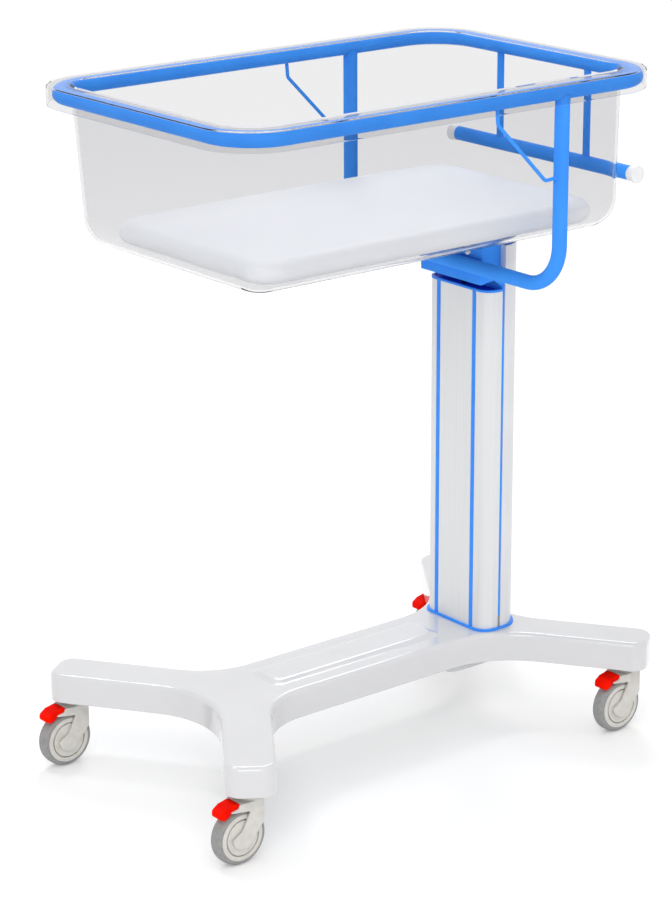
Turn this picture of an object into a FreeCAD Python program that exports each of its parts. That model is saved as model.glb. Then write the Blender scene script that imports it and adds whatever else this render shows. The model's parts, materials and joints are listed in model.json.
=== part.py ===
import FreeCAD, Part
import math
import os

# Height-adjustable hospital bassinet. Millimetres, Z up, floor at Z = 0.
# X runs from the foot end (-) to the column and handle end (+), Y across the bassinet.
# The finished pieces are shifted so that the middle of the overall outline is on the Z axis.

# ---- base on the floor ----
BASE_DEPTH = 46.0
BASE_MID_X = 5.0
SWIVEL_HALF_X = 371.0
SWIVEL_HALF_Y = 220.0
ARM_HALF_WIDTH = 37.5
ARM_SPLAY = math.radians(54.77)
ARM_OVERRUN = 33.0
ARM_END_RADIUS = 24.0
BEAM_HALF_WIDTH = 67.0
FOOT_ROOT_RADIUS = 112.0
HEAD_ROOT_RADIUS = 146.0
END_HOLLOW_RADIUS = 140.0
BASE_EDGE_RADIUS = 8.0
BASE_WALL = 3.5
PANEL_FOOT_INSET = 191.0
PANEL_COLUMN_GAP = 55.0
PANEL_HALF_WIDTH = 35.0
PANEL_RISE = 4.5
PANEL_SLOPE = 10.0
PANEL_RADIUS = 14.0

# ---- steel and iron inside the base ----
CHASSIS_PLATE = 5.0
CHASSIS_HALF_WIDTH = 22.0
CHASSIS_BEAM_HALF_WIDTH = 45.0
SOCKET_RADIUS = 15.0
SOCKET_LIFT = 2.0
STEM_RADIUS = 5.5
STEM_CLEAR_END = 4.0
BALLAST_OVERRUN = 55.0
BALLAST_BACK_INSET = 2.0
BALLAST_HALF_WIDTH = 57.0
BALLAST_DROP = 12.5
BALLAST_RADIUS = 18.0

# ---- column ----
COLUMN_INSET = 171.0
COLUMN_HALF_WIDTH = 71.0
COLUMN_FRONT_RADIUS = 22.0
FRONT_BAR_DEPTH = 31.0
SLOT_WIDTH = 5.0
MAST_DEPTH = 44.0
MAST_BACK_RADIUS = 40.0
COLUMN_WALL = 3.0
COLUMN_TOP = 703.2
STRIP_WIDTH = 8.0
STRIP_DEPTH = 1.6
STRIP_PROUD = 0.4
STRIP_Y = 41.0
GASKET_HEIGHT = 3.4
GASKET_OVERHANG = 4.2
RIM_WRAP = 2.4
RIM_CAP = 1.2
RIM_OVERHANG = 0.8
RIM_OPENING_INSET = 3.5

# ---- lift carriage ----
PLATE_THICKNESS = 4.6
PLATE_HALF_WIDTH = 69.6
PLATE_FLOOR_GAP = 21.0
GLIDE_CLEARANCE = 0.05
GLIDE_RECESS = 1.2
GLIDE_HEIGHT = 40.0
GLIDE_WIDTH = 16.0
GLIDE_Y = 50.0
GLIDE_LOW_LIFT = 10.0
GLIDE_HIGH_LIFT = 336.0
HEAD_GAP = 14.6
HEAD_HEIGHT = 52.0
HEAD_HALF_WIDTH = 60.0
HEAD_WALL = 7.0
HEAD_EDGE_RADIUS = 3.0
TUBE_SEAT_HEIGHT = 24.0
TUBE_SINK = 0.7
MAST_GAP = 0.2
CAP_THICKNESS = 3.6
CAP_FRONT_OVERHANG = 2.0
CAP_BACK_OVERHANG = 1.0
CAP_FRONT_RADIUS = 6.0
CAP_BACK_RADIUS = 22.0
SADDLE_SHEET = 3.0
SADDLE_FRONT_SETBACK = 0.3
SADDLE_HALF_WIDTH = 69.0
SADDLE_RADIUS = 1.2
SADDLE_TOP_GAP = 0.2
SADDLE_FLANGE_RISE = 5.0
SADDLE_FRONT_DROP = 26.4
SADDLE_PEAK_REACH = 28.3
SADDLE_PEAK_DROP = 23.0
SADDLE_BACK_DROP = 36.0
BOLT_HEAD_RADIUS = 5.3
BOLT_HEAD_HEIGHT = 3.5
BOLT_SHANK_RADIUS = 3.0
BOLT_SHANK_LENGTH = 26.0
BOLT_SOCKET_RADIUS = 2.4
BOLT_SOCKET_DEPTH = 2.0
BOLT_Y = 30.5
BOLT_DROP = 10.0
SPRING_RADIUS = 11.0
SPRING_TOP_DROP = 63.0
SPRING_WALL = 1.6
SPRING_GUIDE_HEIGHT = 14.0
SPRING_FOOT_HEIGHT = 10.0
ROD_RADIUS = 4.0
ROD_LENGTH = 389.0
PISTON_HEIGHT = 12.0
ROD_CLEARANCE = 0.05

# ---- tube frame of the cradle ----
TUBE_RADIUS = 11.0
TUBE_WALL = 2.0
RING_HALF_X = 377.9
RING_HALF_Y = 239.6
RING_CORNER = 70.0
FRAME_RISE = 292.6
FRAME_SETBACK = 13.3
FRAME_BEND = 67.0
BRACE_RADIUS = 2.7
BRACE_REACH = 123.2
BRACE_KNEE_DROP = 32.6
BRACE_FOOT_REACH = 30.7
BRACE_FOOT_DROP = 125.2
BRACE_BEND = 10.0
BRACE_END_DROP = 123.9
BRACE_BALL_RADIUS = 4.2
HANGER_RADIUS = 5.5
HANGER_Y = 97.0
HANDLE_DROP = 152.1
HANDLE_HALF_LENGTH = 194.0
END_CAP_LENGTH = 16.0
END_CAP_FLARE = 2.5
END_CAP_PLUG = 14.0
END_CAP_EDGE = 2.5

# ---- clear tray and mattress ----
LIP_SHIFT = -2.5
TRAY_SHEET = 4.0
TRAY_DEPTH = 239.3
TRAY_FOOT_GAP = 2.4
TRAY_HEAD_GAP = 10.4
TRAY_SIDE_GAP = 6.5
TRAY_FOOT_LEAN = 18.5
TRAY_HEAD_LEAN = 1.5
TRAY_SIDE_LEAN = 7.1
TRAY_RIM_CORNER = 57.0
TRAY_FLOOR_CORNER = 50.0
TRAY_BOTTOM_RADIUS = 42.0
LIP_SEAT_GAP = 0.3
LIP_THICKNESS = 2.6
LIP_REACH = 6.6
SKIRT_THICKNESS = 3.0
SKIRT_DROP = 15.0
LIP_EDGE_RADIUS = 4.0
LIP_INNER_RADIUS = 2.4
MATTRESS_FOOT_MARGIN = 31.0
MATTRESS_HEAD_MARGIN = 18.0
MATTRESS_SIDE_MARGIN = 23.6
MATTRESS_CORNER = 45.0
MATTRESS_THICKNESS = 33.0
MATTRESS_TOP_RADIUS = 14.6
MATTRESS_BOTTOM_RADIUS = 18.0
MATTRESS_GAP = 0.4

# ---- casters, built with the swivel axis on the Z axis and trailing toward -X ----
WHEEL_RADIUS = 42.5
CASTER_TRAIL = 23.3
TREAD_HALF_WIDTH = 5.0
SHOULDER_HALF_WIDTH = 10.0
SHOULDER_DROP = 3.4
BED_HALF_WIDTH = 9.5
TYRE_DEPTH = 7.3
TYRE_KEY_DEPTH = 2.5
HUB_HALF_WIDTH = 12.0
HUB_BOSS_RADIUS = 9.0
HUB_EDGE = 1.2
HUB_GROOVE_INSET = 7.8
HUB_GROOVE_WIDTH = 1.6
HUB_GROOVE_DEPTH = 1.6
HUB_CLEARANCE = 0.05
AXLE_RADIUS = 5.0
AXLE_SEAT = 2.6
LEG_SLOT_GAP = 1.1
LEG_THICKNESS = 4.6
LEG_EYE_RADIUS = 17.0
LEG_FRONT_X = 11.4
LEG_EYE_OFFSET = 2.2
LEG_EYE_RISE = 1.1
LEG_KNEE_RADIUS = 12.0
LEG_KNEE_RISE = 18.5
LEG_SOLE_REACH = 7.9
LEG_BLEND = 0.1
LEG_HEEL_RISE = 0.9
LEG_HEEL_RADIUS = 0.8
LEG_SHIN_RISE = 11.4
LEG_SHIN_RADIUS = 8.0
LEG_WAIST_X = -14.6
LEG_WAIST_DROP = 20.6
LEG_WAIST_RADIUS = 4.0
LEG_THROAT_X = -12.0
LEG_THROAT_DROP = 14.8
CHEEK_TIP_X = -49.0
CHEEK_TIP_DROP = 9.0
CHEEK_BACK_REACH = 4.8
CHEEK_BACK_DROP = 5.8
CHEEK_TOP_REACH = 3.4
CHEEK_TOP_DROP = 1.6
CHEEK_EDGE = 1.5
CROWN_GAP = 3.6
CROWN_DEPTH = 8.4
CROWN_FRONT_X = -27.0
BARREL_RADIUS = 17.7
BARREL_HEIGHT = 6.0
BARREL_BASE_GAP = 4.0
SWIVEL_CLEARANCE = 0.05
WASHER_RADIUS = 15.0
PEDAL_SIDE_GAP = 0.3
PEDAL_PIVOT_X = -33.0
PEDAL_PIVOT_DROP = 8.6
PEDAL_TIP_X = -63.6
PEDAL_NOSE_LENGTH = 7.0
PEDAL_NOSE_RADIUS = 4.0
PEDAL_TIP_DROP = 12.2
PEDAL_ROOT_X = -28.2
PEDAL_ROOT_HIGH_DROP = 3.0
PEDAL_ROOT_LOW_DROP = 7.2
PEDAL_CREST_X = -29.6
PEDAL_CREST_RISE = 0.4
PEDAL_HINGE_RISE = 0.6
PEDAL_SLOPE_LENGTH = 15.1
PEDAL_SLOPE_DROP = 2.6
PEDAL_BROW_LENGTH = 3.1
PEDAL_BROW_DROP = 8.4
PEDAL_CHIN_LENGTH = 2.8
PEDAL_CHIN_DROP = 17.4
PEDAL_SOLE_LENGTH = 8.6
PEDAL_SOLE_DROP = 19.2
PEDAL_HEEL_X = -47.1
PEDAL_HEEL_DROP = 15.7
PEDAL_ARCH_X = -44.1
PEDAL_ARCH_DROP = 11.8
PEDAL_BACK_X = -40.0
PEDAL_BACK_DROP = 9.4
PEDAL_BOSS_RADIUS = 3.3
PEDAL_PIN_RADIUS = 1.5
PEDAL_PIN_SEAT = 3.0

UP = FreeCAD.Vector(0, 0, 1)
ACROSS = FreeCAD.Vector(0, 1, 0)
ALONG = FreeCAD.Vector(1, 0, 0)

CROWN_UNDERSIDE = 2 * WHEEL_RADIUS + CROWN_GAP
CROWN_TOP = CROWN_UNDERSIDE + CROWN_DEPTH
FORK_TOP = CROWN_TOP + BARREL_HEIGHT
PEDAL_PIVOT_Z = CROWN_TOP - PEDAL_PIVOT_DROP
LEG_SLOT_HALF_WIDTH = HUB_HALF_WIDTH + LEG_SLOT_GAP
LEG_HALF_WIDTH = LEG_SLOT_HALF_WIDTH + LEG_THICKNESS
PEDAL_HALF_WIDTH = LEG_SLOT_HALF_WIDTH - PEDAL_SIDE_GAP
HUB_RADIUS = WHEEL_RADIUS - TYRE_DEPTH
HUB_BED_RADIUS = HUB_RADIUS - TYRE_KEY_DEPTH
HUB_GROOVE_RADIUS = HUB_RADIUS - HUB_GROOVE_INSET

BASE_BOTTOM = FORK_TOP + BARREL_BASE_GAP
BASE_TOP = BASE_BOTTOM + BASE_DEPTH
CHASSIS_TOP = BASE_TOP - BASE_WALL
CHASSIS_UNDER = CHASSIS_TOP - CHASSIS_PLATE
BALLAST_BOTTOM = BASE_BOTTOM - BALLAST_DROP

COLUMN_FRONT_X = BASE_MID_X + SWIVEL_HALF_X - COLUMN_INSET
SLOT_FRONT_X = COLUMN_FRONT_X + FRONT_BAR_DEPTH
MAST_FRONT_X = SLOT_FRONT_X + SLOT_WIDTH
MAST_BACK_X = MAST_FRONT_X + MAST_DEPTH
PLATE_FRONT_X = SLOT_FRONT_X + (SLOT_WIDTH - PLATE_THICKNESS) / 2
PLATE_BACK_X = PLATE_FRONT_X + PLATE_THICKNESS
PANEL_START_X = BASE_MID_X - SWIVEL_HALF_X + PANEL_FOOT_INSET
PANEL_END_X = COLUMN_FRONT_X - PANEL_COLUMN_GAP
BALLAST_START_X = COLUMN_FRONT_X - BALLAST_OVERRUN
BALLAST_END_X = MAST_BACK_X - BALLAST_BACK_INSET
RIM_BOTTOM = COLUMN_TOP - RIM_WRAP
RIM_TOP = COLUMN_TOP + RIM_CAP

HEAD_BOTTOM = RIM_TOP + HEAD_GAP
PLATE_TOP = HEAD_BOTTOM + HEAD_HEIGHT
PLATE_BOTTOM = BASE_TOP + PLATE_FLOOR_GAP
MAST_TOP = PLATE_TOP - MAST_GAP
BOLT_Z = PLATE_TOP - BOLT_DROP
GLIDE_LOW_Z = PLATE_BOTTOM + GLIDE_LOW_LIFT
GLIDE_HIGH_Z = PLATE_BOTTOM + GLIDE_HIGH_LIFT
SPRING_X = (COLUMN_FRONT_X + SLOT_FRONT_X) / 2
SPRING_TOP = COLUMN_TOP - SPRING_TOP_DROP
SPRING_BORE = SPRING_RADIUS - SPRING_WALL
ROD_BOTTOM = HEAD_BOTTOM - ROD_LENGTH

FRAME_X = COLUMN_FRONT_X - FRAME_SETBACK
FRAME_HALF_Y = RING_HALF_Y
FRAME_BOTTOM_Z = HEAD_BOTTOM + TUBE_SEAT_HEIGHT
RING_Z = FRAME_BOTTOM_Z + FRAME_RISE
RING_TOP = RING_Z + TUBE_RADIUS
HEAD_FRONT_X = FRAME_X + TUBE_RADIUS - TUBE_SINK
CAP_FRONT_X = HEAD_FRONT_X - CAP_FRONT_OVERHANG
CAP_BACK_X = MAST_BACK_X + CAP_BACK_OVERHANG
SADDLE_FRONT_X = FRAME_X + SADDLE_FRONT_SETBACK
SADDLE_PEAK_X = FRAME_X + SADDLE_PEAK_REACH
SADDLE_TOP = FRAME_BOTTOM_Z - TUBE_RADIUS - SADDLE_TOP_GAP
SADDLE_FLANGE_TOP = SADDLE_TOP + SADDLE_FLANGE_RISE
SADDLE_FRONT_EDGE = FRAME_BOTTOM_Z - SADDLE_FRONT_DROP
SADDLE_PEAK_Z = FRAME_BOTTOM_Z - SADDLE_PEAK_DROP
SADDLE_BACK_EDGE = FRAME_BOTTOM_Z - SADDLE_BACK_DROP
BRACE_START_X = FRAME_X - BRACE_REACH
BRACE_FOOT_X = FRAME_X - BRACE_FOOT_REACH
BRACE_KNEE_Z = RING_Z - BRACE_KNEE_DROP
BRACE_FOOT_Z = RING_Z - BRACE_FOOT_DROP
BRACE_END_Z = RING_Z - BRACE_END_DROP
HANDLE_Z = RING_Z - HANDLE_DROP
END_CAP_RADIUS = TUBE_RADIUS + END_CAP_FLARE

LIP_UNDERSIDE = RING_TOP + LIP_SEAT_GAP
LIP_TOP = LIP_UNDERSIDE + LIP_THICKNESS
SKIRT_BOTTOM = RING_Z - SKIRT_DROP
TRAY_BOTTOM = LIP_TOP - TRAY_DEPTH
RING_INSIDE_X = RING_HALF_X - TUBE_RADIUS
RING_INSIDE_Y = RING_HALF_Y - TUBE_RADIUS
CORNERS = [
    ("foot_near", -1, -1),
    ("foot_far", -1, 1),
    ("head_near", 1, -1),
    ("head_far", 1, 1),
]


def point(x, y, z):
    return FreeCAD.Vector(x, y, z)


def block(x0, x1, y0, y1, z0, z1):
    return Part.makeBox(x1 - x0, y1 - y0, z1 - z0, point(x0, y0, z0))


def upright(radius, x, y, z0, z1):
    return Part.makeCylinder(radius, z1 - z0, point(x, y, z0), UP)


def crosswise(radius, x, z, y0, y1):
    return Part.makeCylinder(radius, y1 - y0, point(x, y0, z), ACROSS)


def joined(shapes):
    whole = shapes[0]
    for other in shapes[1:]:
        whole = whole.fuse(other)
    return whole.removeSplitter()


def line(start, end):
    return Part.LineSegment(start, end).toShape()


def quarter_turn(centre, radius, start_degrees):
    circle = Part.Circle(centre, UP, radius)
    begin = math.radians(start_degrees)
    return Part.Arc(circle, begin, begin + math.pi / 2).toShape()


def rounded_outline(half_x, half_y, radius, z, shift_x=0.0):
    """Closed wire of a rounded rectangle, seen from above."""
    left = shift_x - half_x
    right = shift_x + half_x
    edges = [
        line(point(left + radius, -half_y, z), point(right - radius, -half_y, z)),
        quarter_turn(point(right - radius, radius - half_y, z), radius, 270),
        line(point(right, radius - half_y, z), point(right, half_y - radius, z)),
        quarter_turn(point(right - radius, half_y - radius, z), radius, 0),
        line(point(right - radius, half_y, z), point(left + radius, half_y, z)),
        quarter_turn(point(left + radius, half_y - radius, z), radius, 90),
        line(point(left, half_y - radius, z), point(left, radius - half_y, z)),
        quarter_turn(point(left + radius, radius - half_y, z), radius, 180),
    ]
    return Part.Wire(edges)


def rounded_prism(half_x, half_y, radius, z0, z1, shift_x=0.0):
    face = Part.Face(rounded_outline(half_x, half_y, radius, z0, shift_x))
    return face.extrude(point(0, 0, z1 - z0))


def edges_at_height(shape, z, tolerance=0.01):
    """Edges that lie flat at one height."""
    flat = []
    for edge in shape.Edges:
        box = edge.BoundBox
        if abs(box.ZMin - z) < tolerance and abs(box.ZMax - z) < tolerance:
            flat.append(edge)
    return flat


def filleted_path(points, radius):
    """Open wire through the points with each inner corner rounded."""
    edges = []
    start = points[0]
    for before, corner, after in zip(points, points[1:], points[2:]):
        toward = (before - corner).normalize()
        onward = (after - corner).normalize()
        half_angle = toward.getAngle(onward) / 2
        setback = radius / math.tan(half_angle)
        entry = corner + toward * setback
        leave = corner + onward * setback
        middle_way = (toward + onward).normalize()
        middle = corner + middle_way * (radius / math.sin(half_angle) - radius)
        edges.append(line(start, entry))
        edges.append(Part.Arc(entry, middle, leave).toShape())
        start = leave
    edges.append(line(start, points[-1]))
    return Part.Wire(edges)


def rod_along(path, radius, start, direction):
    section = Part.Wire([Part.Circle(start, direction, radius).toShape()])
    return path.makePipeShell([section], True, True)


def rounded_polygon(corners, z):
    """Closed wire through the corners, each with its own radius (zero leaves it sharp)."""
    count = len(corners)
    rise = point(0, 0, z)
    entries = []
    leaves = []
    arcs = []
    for index in range(count):
        corner, radius = corners[index]
        toward = (corners[index - 1][0] - corner).normalize()
        onward = (corners[(index + 1) % count][0] - corner).normalize()
        half_angle = toward.getAngle(onward) / 2
        setback = radius / math.tan(half_angle)
        entry = corner + toward * setback + rise
        leave = corner + onward * setback + rise
        entries.append(entry)
        leaves.append(leave)
        if radius > 0:
            middle_way = (toward + onward).normalize()
            middle = corner + middle_way * (radius / math.sin(half_angle) - radius) + rise
            arcs.append(Part.Arc(entry, middle, leave).toShape())
        else:
            arcs.append(None)
    edges = []
    for index in range(count):
        if arcs[index] is not None:
            edges.append(arcs[index])
        edges.append(line(leaves[index], entries[(index + 1) % count]))
    return Part.Wire(edges)


def side_profile(outline, half_width):
    """Plate with an X-Z outline, centred on Y = 0."""
    points = [point(x, -half_width, z) for x, z in outline]
    wire = Part.makePolygon(points + [points[0]])
    return Part.Face(wire).extrude(point(0, 2 * half_width, 0))


# ---- base ----

def arm_frame(side_x, side_y):
    """Swivel centre of one arm and the direction it points in."""
    centre = point(BASE_MID_X + side_x * SWIVEL_HALF_X, side_y * SWIVEL_HALF_Y, 0)
    direction = point(side_x * math.cos(ARM_SPLAY), side_y * math.sin(ARM_SPLAY), 0)
    return centre, direction


def meet(a, along_a, b, along_b):
    """Crossing point of two lines in plan."""
    cross = along_a.x * along_b.y - along_a.y * along_b.x
    reach = ((b.x - a.x) * along_b.y - (b.y - a.y) * along_b.x) / cross
    return a + along_a * reach


def base_plan(inset, z):
    """Four-armed outline with straight beam sides, hollow ends and rounded arm ends."""
    half_arm = ARM_HALF_WIDTH - inset
    centre, direction = arm_frame(1, 1)
    outward = point(math.sin(ARM_SPLAY), -math.cos(ARM_SPLAY), 0)
    end = centre + direction * (ARM_OVERRUN - inset)
    middle_line = point(BASE_MID_X, 0, 0)
    beam_line = point(0, BEAM_HALF_WIDTH - inset, 0)
    hollow = meet(centre + outward * half_arm, direction, middle_line, ALONG)
    root = meet(centre - outward * half_arm, direction, beam_line, ALONG)
    arm_end = [end + outward * half_arm, end - outward * half_arm]
    end_radius = ARM_END_RADIUS - inset

    def placed(spot, side_x, side_y):
        return point(BASE_MID_X + side_x * (spot.x - BASE_MID_X), side_y * spot.y, 0)

    corners = []
    for side_x, side_y in [(1, 1), (-1, 1), (-1, -1), (1, -1)]:
        root_radius = (HEAD_ROOT_RADIUS if side_x > 0 else FOOT_ROOT_RADIUS) + inset
        arm = [(placed(spot, side_x, side_y), end_radius) for spot in arm_end]
        arm.append((placed(root, side_x, side_y), root_radius))
        hollow_corner = (placed(hollow, side_x, side_y), END_HOLLOW_RADIUS + inset)
        if side_x == side_y:
            corners += [hollow_corner] + arm
        else:
            corners += list(reversed(arm))
    return rounded_polygon(corners, z)


def base_solid(inset, z0, z1):
    return Part.Face(base_plan(inset, z0)).extrude(point(0, 0, z1 - z0))


def raised_panel():
    """Long shallow step on the beam, with sloping sides."""
    half_x = (PANEL_END_X - PANEL_START_X) / 2
    mid_x = (PANEL_END_X + PANEL_START_X) / 2
    top_x = half_x - PANEL_SLOPE
    top_y = PANEL_HALF_WIDTH - PANEL_SLOPE
    low = rounded_outline(half_x, PANEL_HALF_WIDTH, PANEL_RADIUS, BASE_TOP, mid_x)
    high = rounded_outline(top_x, top_y, PANEL_RADIUS, BASE_TOP + PANEL_RISE, mid_x)
    return Part.makeLoft([low, high], True, True)


def column_outline(overhang, z0, z1):
    """Solid over the plan of the whole column, front extrusion and rear mast together."""
    front = COLUMN_FRONT_X - overhang
    back = MAST_BACK_X + overhang
    half = COLUMN_HALF_WIDTH + overhang
    front_radius = COLUMN_FRONT_RADIUS + overhang
    back_radius = MAST_BACK_RADIUS + overhang
    corners = [
        (point(front, -half, 0), front_radius),
        (point(back, -half, 0), back_radius),
        (point(back, half, 0), back_radius),
        (point(front, half, 0), front_radius),
    ]
    return Part.Face(rounded_polygon(corners, z0)).extrude(point(0, 0, z1 - z0))


def base_shell():
    outside = base_solid(0, BASE_BOTTOM, BASE_TOP)
    outside = outside.makeFillet(BASE_EDGE_RADIUS, edges_at_height(outside, BASE_TOP))
    outside = outside.fuse(raised_panel())
    inside = base_solid(BASE_WALL, BASE_BOTTOM - 1, CHASSIS_TOP)
    inner_radius = BASE_EDGE_RADIUS - BASE_WALL
    inside = inside.makeFillet(inner_radius, edges_at_height(inside, CHASSIS_TOP))
    shell = outside.cut(inside)
    return shell.cut(column_outline(0, CHASSIS_TOP - 1, BASE_TOP + 1))


def base_chassis():
    """Flat steel cross under the moulding, with a caster socket at the end of each arm."""
    spread = SWIVEL_HALF_X - SWIVEL_HALF_Y / math.tan(ARM_SPLAY)
    pieces = [block(
        BASE_MID_X - spread, MAST_BACK_X + CHASSIS_PLATE,
        -CHASSIS_BEAM_HALF_WIDTH, CHASSIS_BEAM_HALF_WIDTH, CHASSIS_UNDER, CHASSIS_TOP,
    )]
    column_foot = column_outline(0, CHASSIS_UNDER, CHASSIS_TOP)
    pieces.append(column_foot)
    for _, side_x, side_y in CORNERS:
        centre, direction = arm_frame(side_x, side_y)
        reach = SWIVEL_HALF_Y / math.sin(ARM_SPLAY)
        bar = block(-reach, 0, -CHASSIS_HALF_WIDTH, CHASSIS_HALF_WIDTH, CHASSIS_UNDER, CHASSIS_TOP)
        bar.rotate(point(0, 0, 0), UP, math.degrees(math.atan2(direction.y, direction.x)))
        bar.translate(centre)
        pieces.append(bar)
        pieces.append(upright(CHASSIS_HALF_WIDTH, centre.x, centre.y, CHASSIS_UNDER, CHASSIS_TOP))
        socket_bottom = BASE_BOTTOM + SOCKET_LIFT
        pieces.append(upright(SOCKET_RADIUS, centre.x, centre.y, socket_bottom, CHASSIS_TOP))
    frame = joined(pieces)
    for _, side_x, side_y in CORNERS:
        centre, _ = arm_frame(side_x, side_y)
        bore_top = CHASSIS_TOP - STEM_CLEAR_END
        frame = frame.cut(upright(STEM_RADIUS, centre.x, centre.y, 0, bore_top))
    return frame.common(base_solid(BASE_EDGE_RADIUS, BASE_BOTTOM, CHASSIS_TOP))


def ballast():
    half_x = (BALLAST_END_X - BALLAST_START_X) / 2
    mid_x = (BALLAST_END_X + BALLAST_START_X) / 2
    return rounded_prism(half_x, BALLAST_HALF_WIDTH, BALLAST_RADIUS, BALLAST_BOTTOM, CHASSIS_UNDER, mid_x)


def caster_stems():
    """Four steel pins pressed up into the chassis sockets."""
    pins = []
    for _, side_x, side_y in CORNERS:
        centre, _ = arm_frame(side_x, side_y)
        top = CHASSIS_TOP - STEM_CLEAR_END
        pins.append(upright(STEM_RADIUS, centre.x, centre.y, CROWN_TOP, top))
    return Part.makeCompound(pins)


def swivel_washers():
    washers = []
    for _, side_x, side_y in CORNERS:
        centre, _ = arm_frame(side_x, side_y)
        bottom = FORK_TOP + SWIVEL_CLEARANCE
        disc = upright(WASHER_RADIUS, centre.x, centre.y, bottom, BASE_BOTTOM + SOCKET_LIFT)
        washers.append(disc.cut(upright(STEM_RADIUS, centre.x, centre.y, bottom, BASE_TOP)))
    return Part.makeCompound(washers)


# ---- column ----

def front_solid(overhang, z0, z1):
    """D-shaped bar over the front part of the column plan, flat at the slot."""
    back = block(0, SLOT_FRONT_X, -COLUMN_HALF_WIDTH * 2, COLUMN_HALF_WIDTH * 2, z0, z1)
    return column_outline(overhang, z0, z1).common(back)


def front_core(wall, z0, z1):
    back = block(0, SLOT_FRONT_X - wall, -COLUMN_HALF_WIDTH * 2, COLUMN_HALF_WIDTH * 2, z0, z1)
    return column_outline(-wall, z0, z1).common(back)


def strip_solids(z0, z1):
    front = COLUMN_FRONT_X - STRIP_PROUD
    back = COLUMN_FRONT_X + STRIP_DEPTH
    strips = []
    for side in (-1, 1):
        low = side * STRIP_Y - STRIP_WIDTH / 2
        strips.append(block(front, back, low, low + STRIP_WIDTH, z0, z1))
    return strips


def column_front():
    """Hollow extrusion with two grooves in its face for the coloured strips."""
    bar = front_solid(0, CHASSIS_TOP, COLUMN_TOP)
    bar = bar.cut(front_core(COLUMN_WALL, CHASSIS_TOP - 1, COLUMN_TOP + 1))
    for strip in strip_solids(BASE_TOP + GASKET_HEIGHT, RIM_BOTTOM):
        bar = bar.cut(strip)
    return bar


def column_strips():
    return Part.makeCompound(strip_solids(BASE_TOP + GASKET_HEIGHT, RIM_BOTTOM))


def column_gasket():
    ring = column_outline(GASKET_OVERHANG, BASE_TOP, BASE_TOP + GASKET_HEIGHT)
    ring = ring.makeFillet(GASKET_HEIGHT / 3, edges_at_height(ring, BASE_TOP + GASKET_HEIGHT))
    return ring.cut(column_outline(0, BASE_TOP - 1, BASE_TOP + GASKET_HEIGHT + 1))


def column_rim():
    """Cap frame that wraps the top end of the front extrusion."""
    cap = front_solid(RIM_OVERHANG, RIM_BOTTOM, RIM_TOP)
    cap = cap.cut(front_solid(0, RIM_BOTTOM - 1, COLUMN_TOP))
    return cap.cut(front_core(RIM_OPENING_INSET, RIM_BOTTOM - 1, RIM_TOP + 1))


def rear_mast():
    """Closed box mast behind the slot, with large back corners."""
    rear = block(MAST_FRONT_X, MAST_BACK_X * 2, -COLUMN_HALF_WIDTH * 2, COLUMN_HALF_WIDTH * 2,
                 CHASSIS_TOP, MAST_TOP)
    mast = column_outline(0, CHASSIS_TOP, MAST_TOP).common(rear)
    inner = column_outline(-COLUMN_WALL, CHASSIS_TOP - 1, MAST_TOP + 1)
    core = block(MAST_FRONT_X + COLUMN_WALL, MAST_BACK_X * 2, -COLUMN_HALF_WIDTH * 2,
                 COLUMN_HALF_WIDTH * 2, CHASSIS_TOP - 1, MAST_TOP + 1)
    return mast.cut(inner.common(core))


def slot_fillers():
    """Low packer in the slot that ties the two column bars together below the carriage."""
    half = COLUMN_HALF_WIDTH - 2 * COLUMN_WALL
    top = PLATE_BOTTOM - GLIDE_WIDTH
    return block(SLOT_FRONT_X, MAST_FRONT_X, -half, half, CHASSIS_TOP, top)


def gas_spring_cylinder():
    body = upright(SPRING_RADIUS, SPRING_X, 0, CHASSIS_TOP, SPRING_TOP)
    floor = CHASSIS_TOP + SPRING_FOOT_HEIGHT
    guide = SPRING_TOP - SPRING_GUIDE_HEIGHT
    body = body.cut(upright(SPRING_BORE, SPRING_X, 0, floor, guide))
    return body.cut(upright(ROD_RADIUS + ROD_CLEARANCE, SPRING_X, 0, floor, SPRING_TOP + 1))


# ---- lift carriage ----

def glide_solids():
    """Low-friction pads let into both faces of the carriage plate."""
    pads = []
    front = SLOT_FRONT_X + GLIDE_CLEARANCE
    back = MAST_FRONT_X - GLIDE_CLEARANCE
    for low in (GLIDE_LOW_Z, GLIDE_HIGH_Z):
        for side in (-1, 1):
            y0 = side * GLIDE_Y - GLIDE_WIDTH / 2
            y1 = y0 + GLIDE_WIDTH
            pads.append(block(front, PLATE_FRONT_X + GLIDE_RECESS, y0, y1, low, low + GLIDE_HEIGHT))
            pads.append(block(PLATE_BACK_X - GLIDE_RECESS, back, y0, y1, low, low + GLIDE_HEIGHT))
    return pads


def lift_plate():
    plate = block(PLATE_FRONT_X, PLATE_BACK_X, -PLATE_HALF_WIDTH, PLATE_HALF_WIDTH,
                  PLATE_BOTTOM, SADDLE_TOP)
    plate = plate.fuse(block(PLATE_FRONT_X, PLATE_BACK_X, -HEAD_HALF_WIDTH, HEAD_HALF_WIDTH,
                             PLATE_BOTTOM, PLATE_TOP)).removeSplitter()
    for pad in glide_solids():
        plate = plate.cut(pad)
    return plate


def head_bolt_shanks():
    back = HEAD_FRONT_X + BOLT_SHANK_LENGTH
    shanks = []
    for side in (-1, 1):
        spot = point(HEAD_FRONT_X, side * BOLT_Y, BOLT_Z)
        shanks.append(Part.makeCylinder(BOLT_SHANK_RADIUS, back - HEAD_FRONT_X, spot, ALONG))
    return shanks


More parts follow.
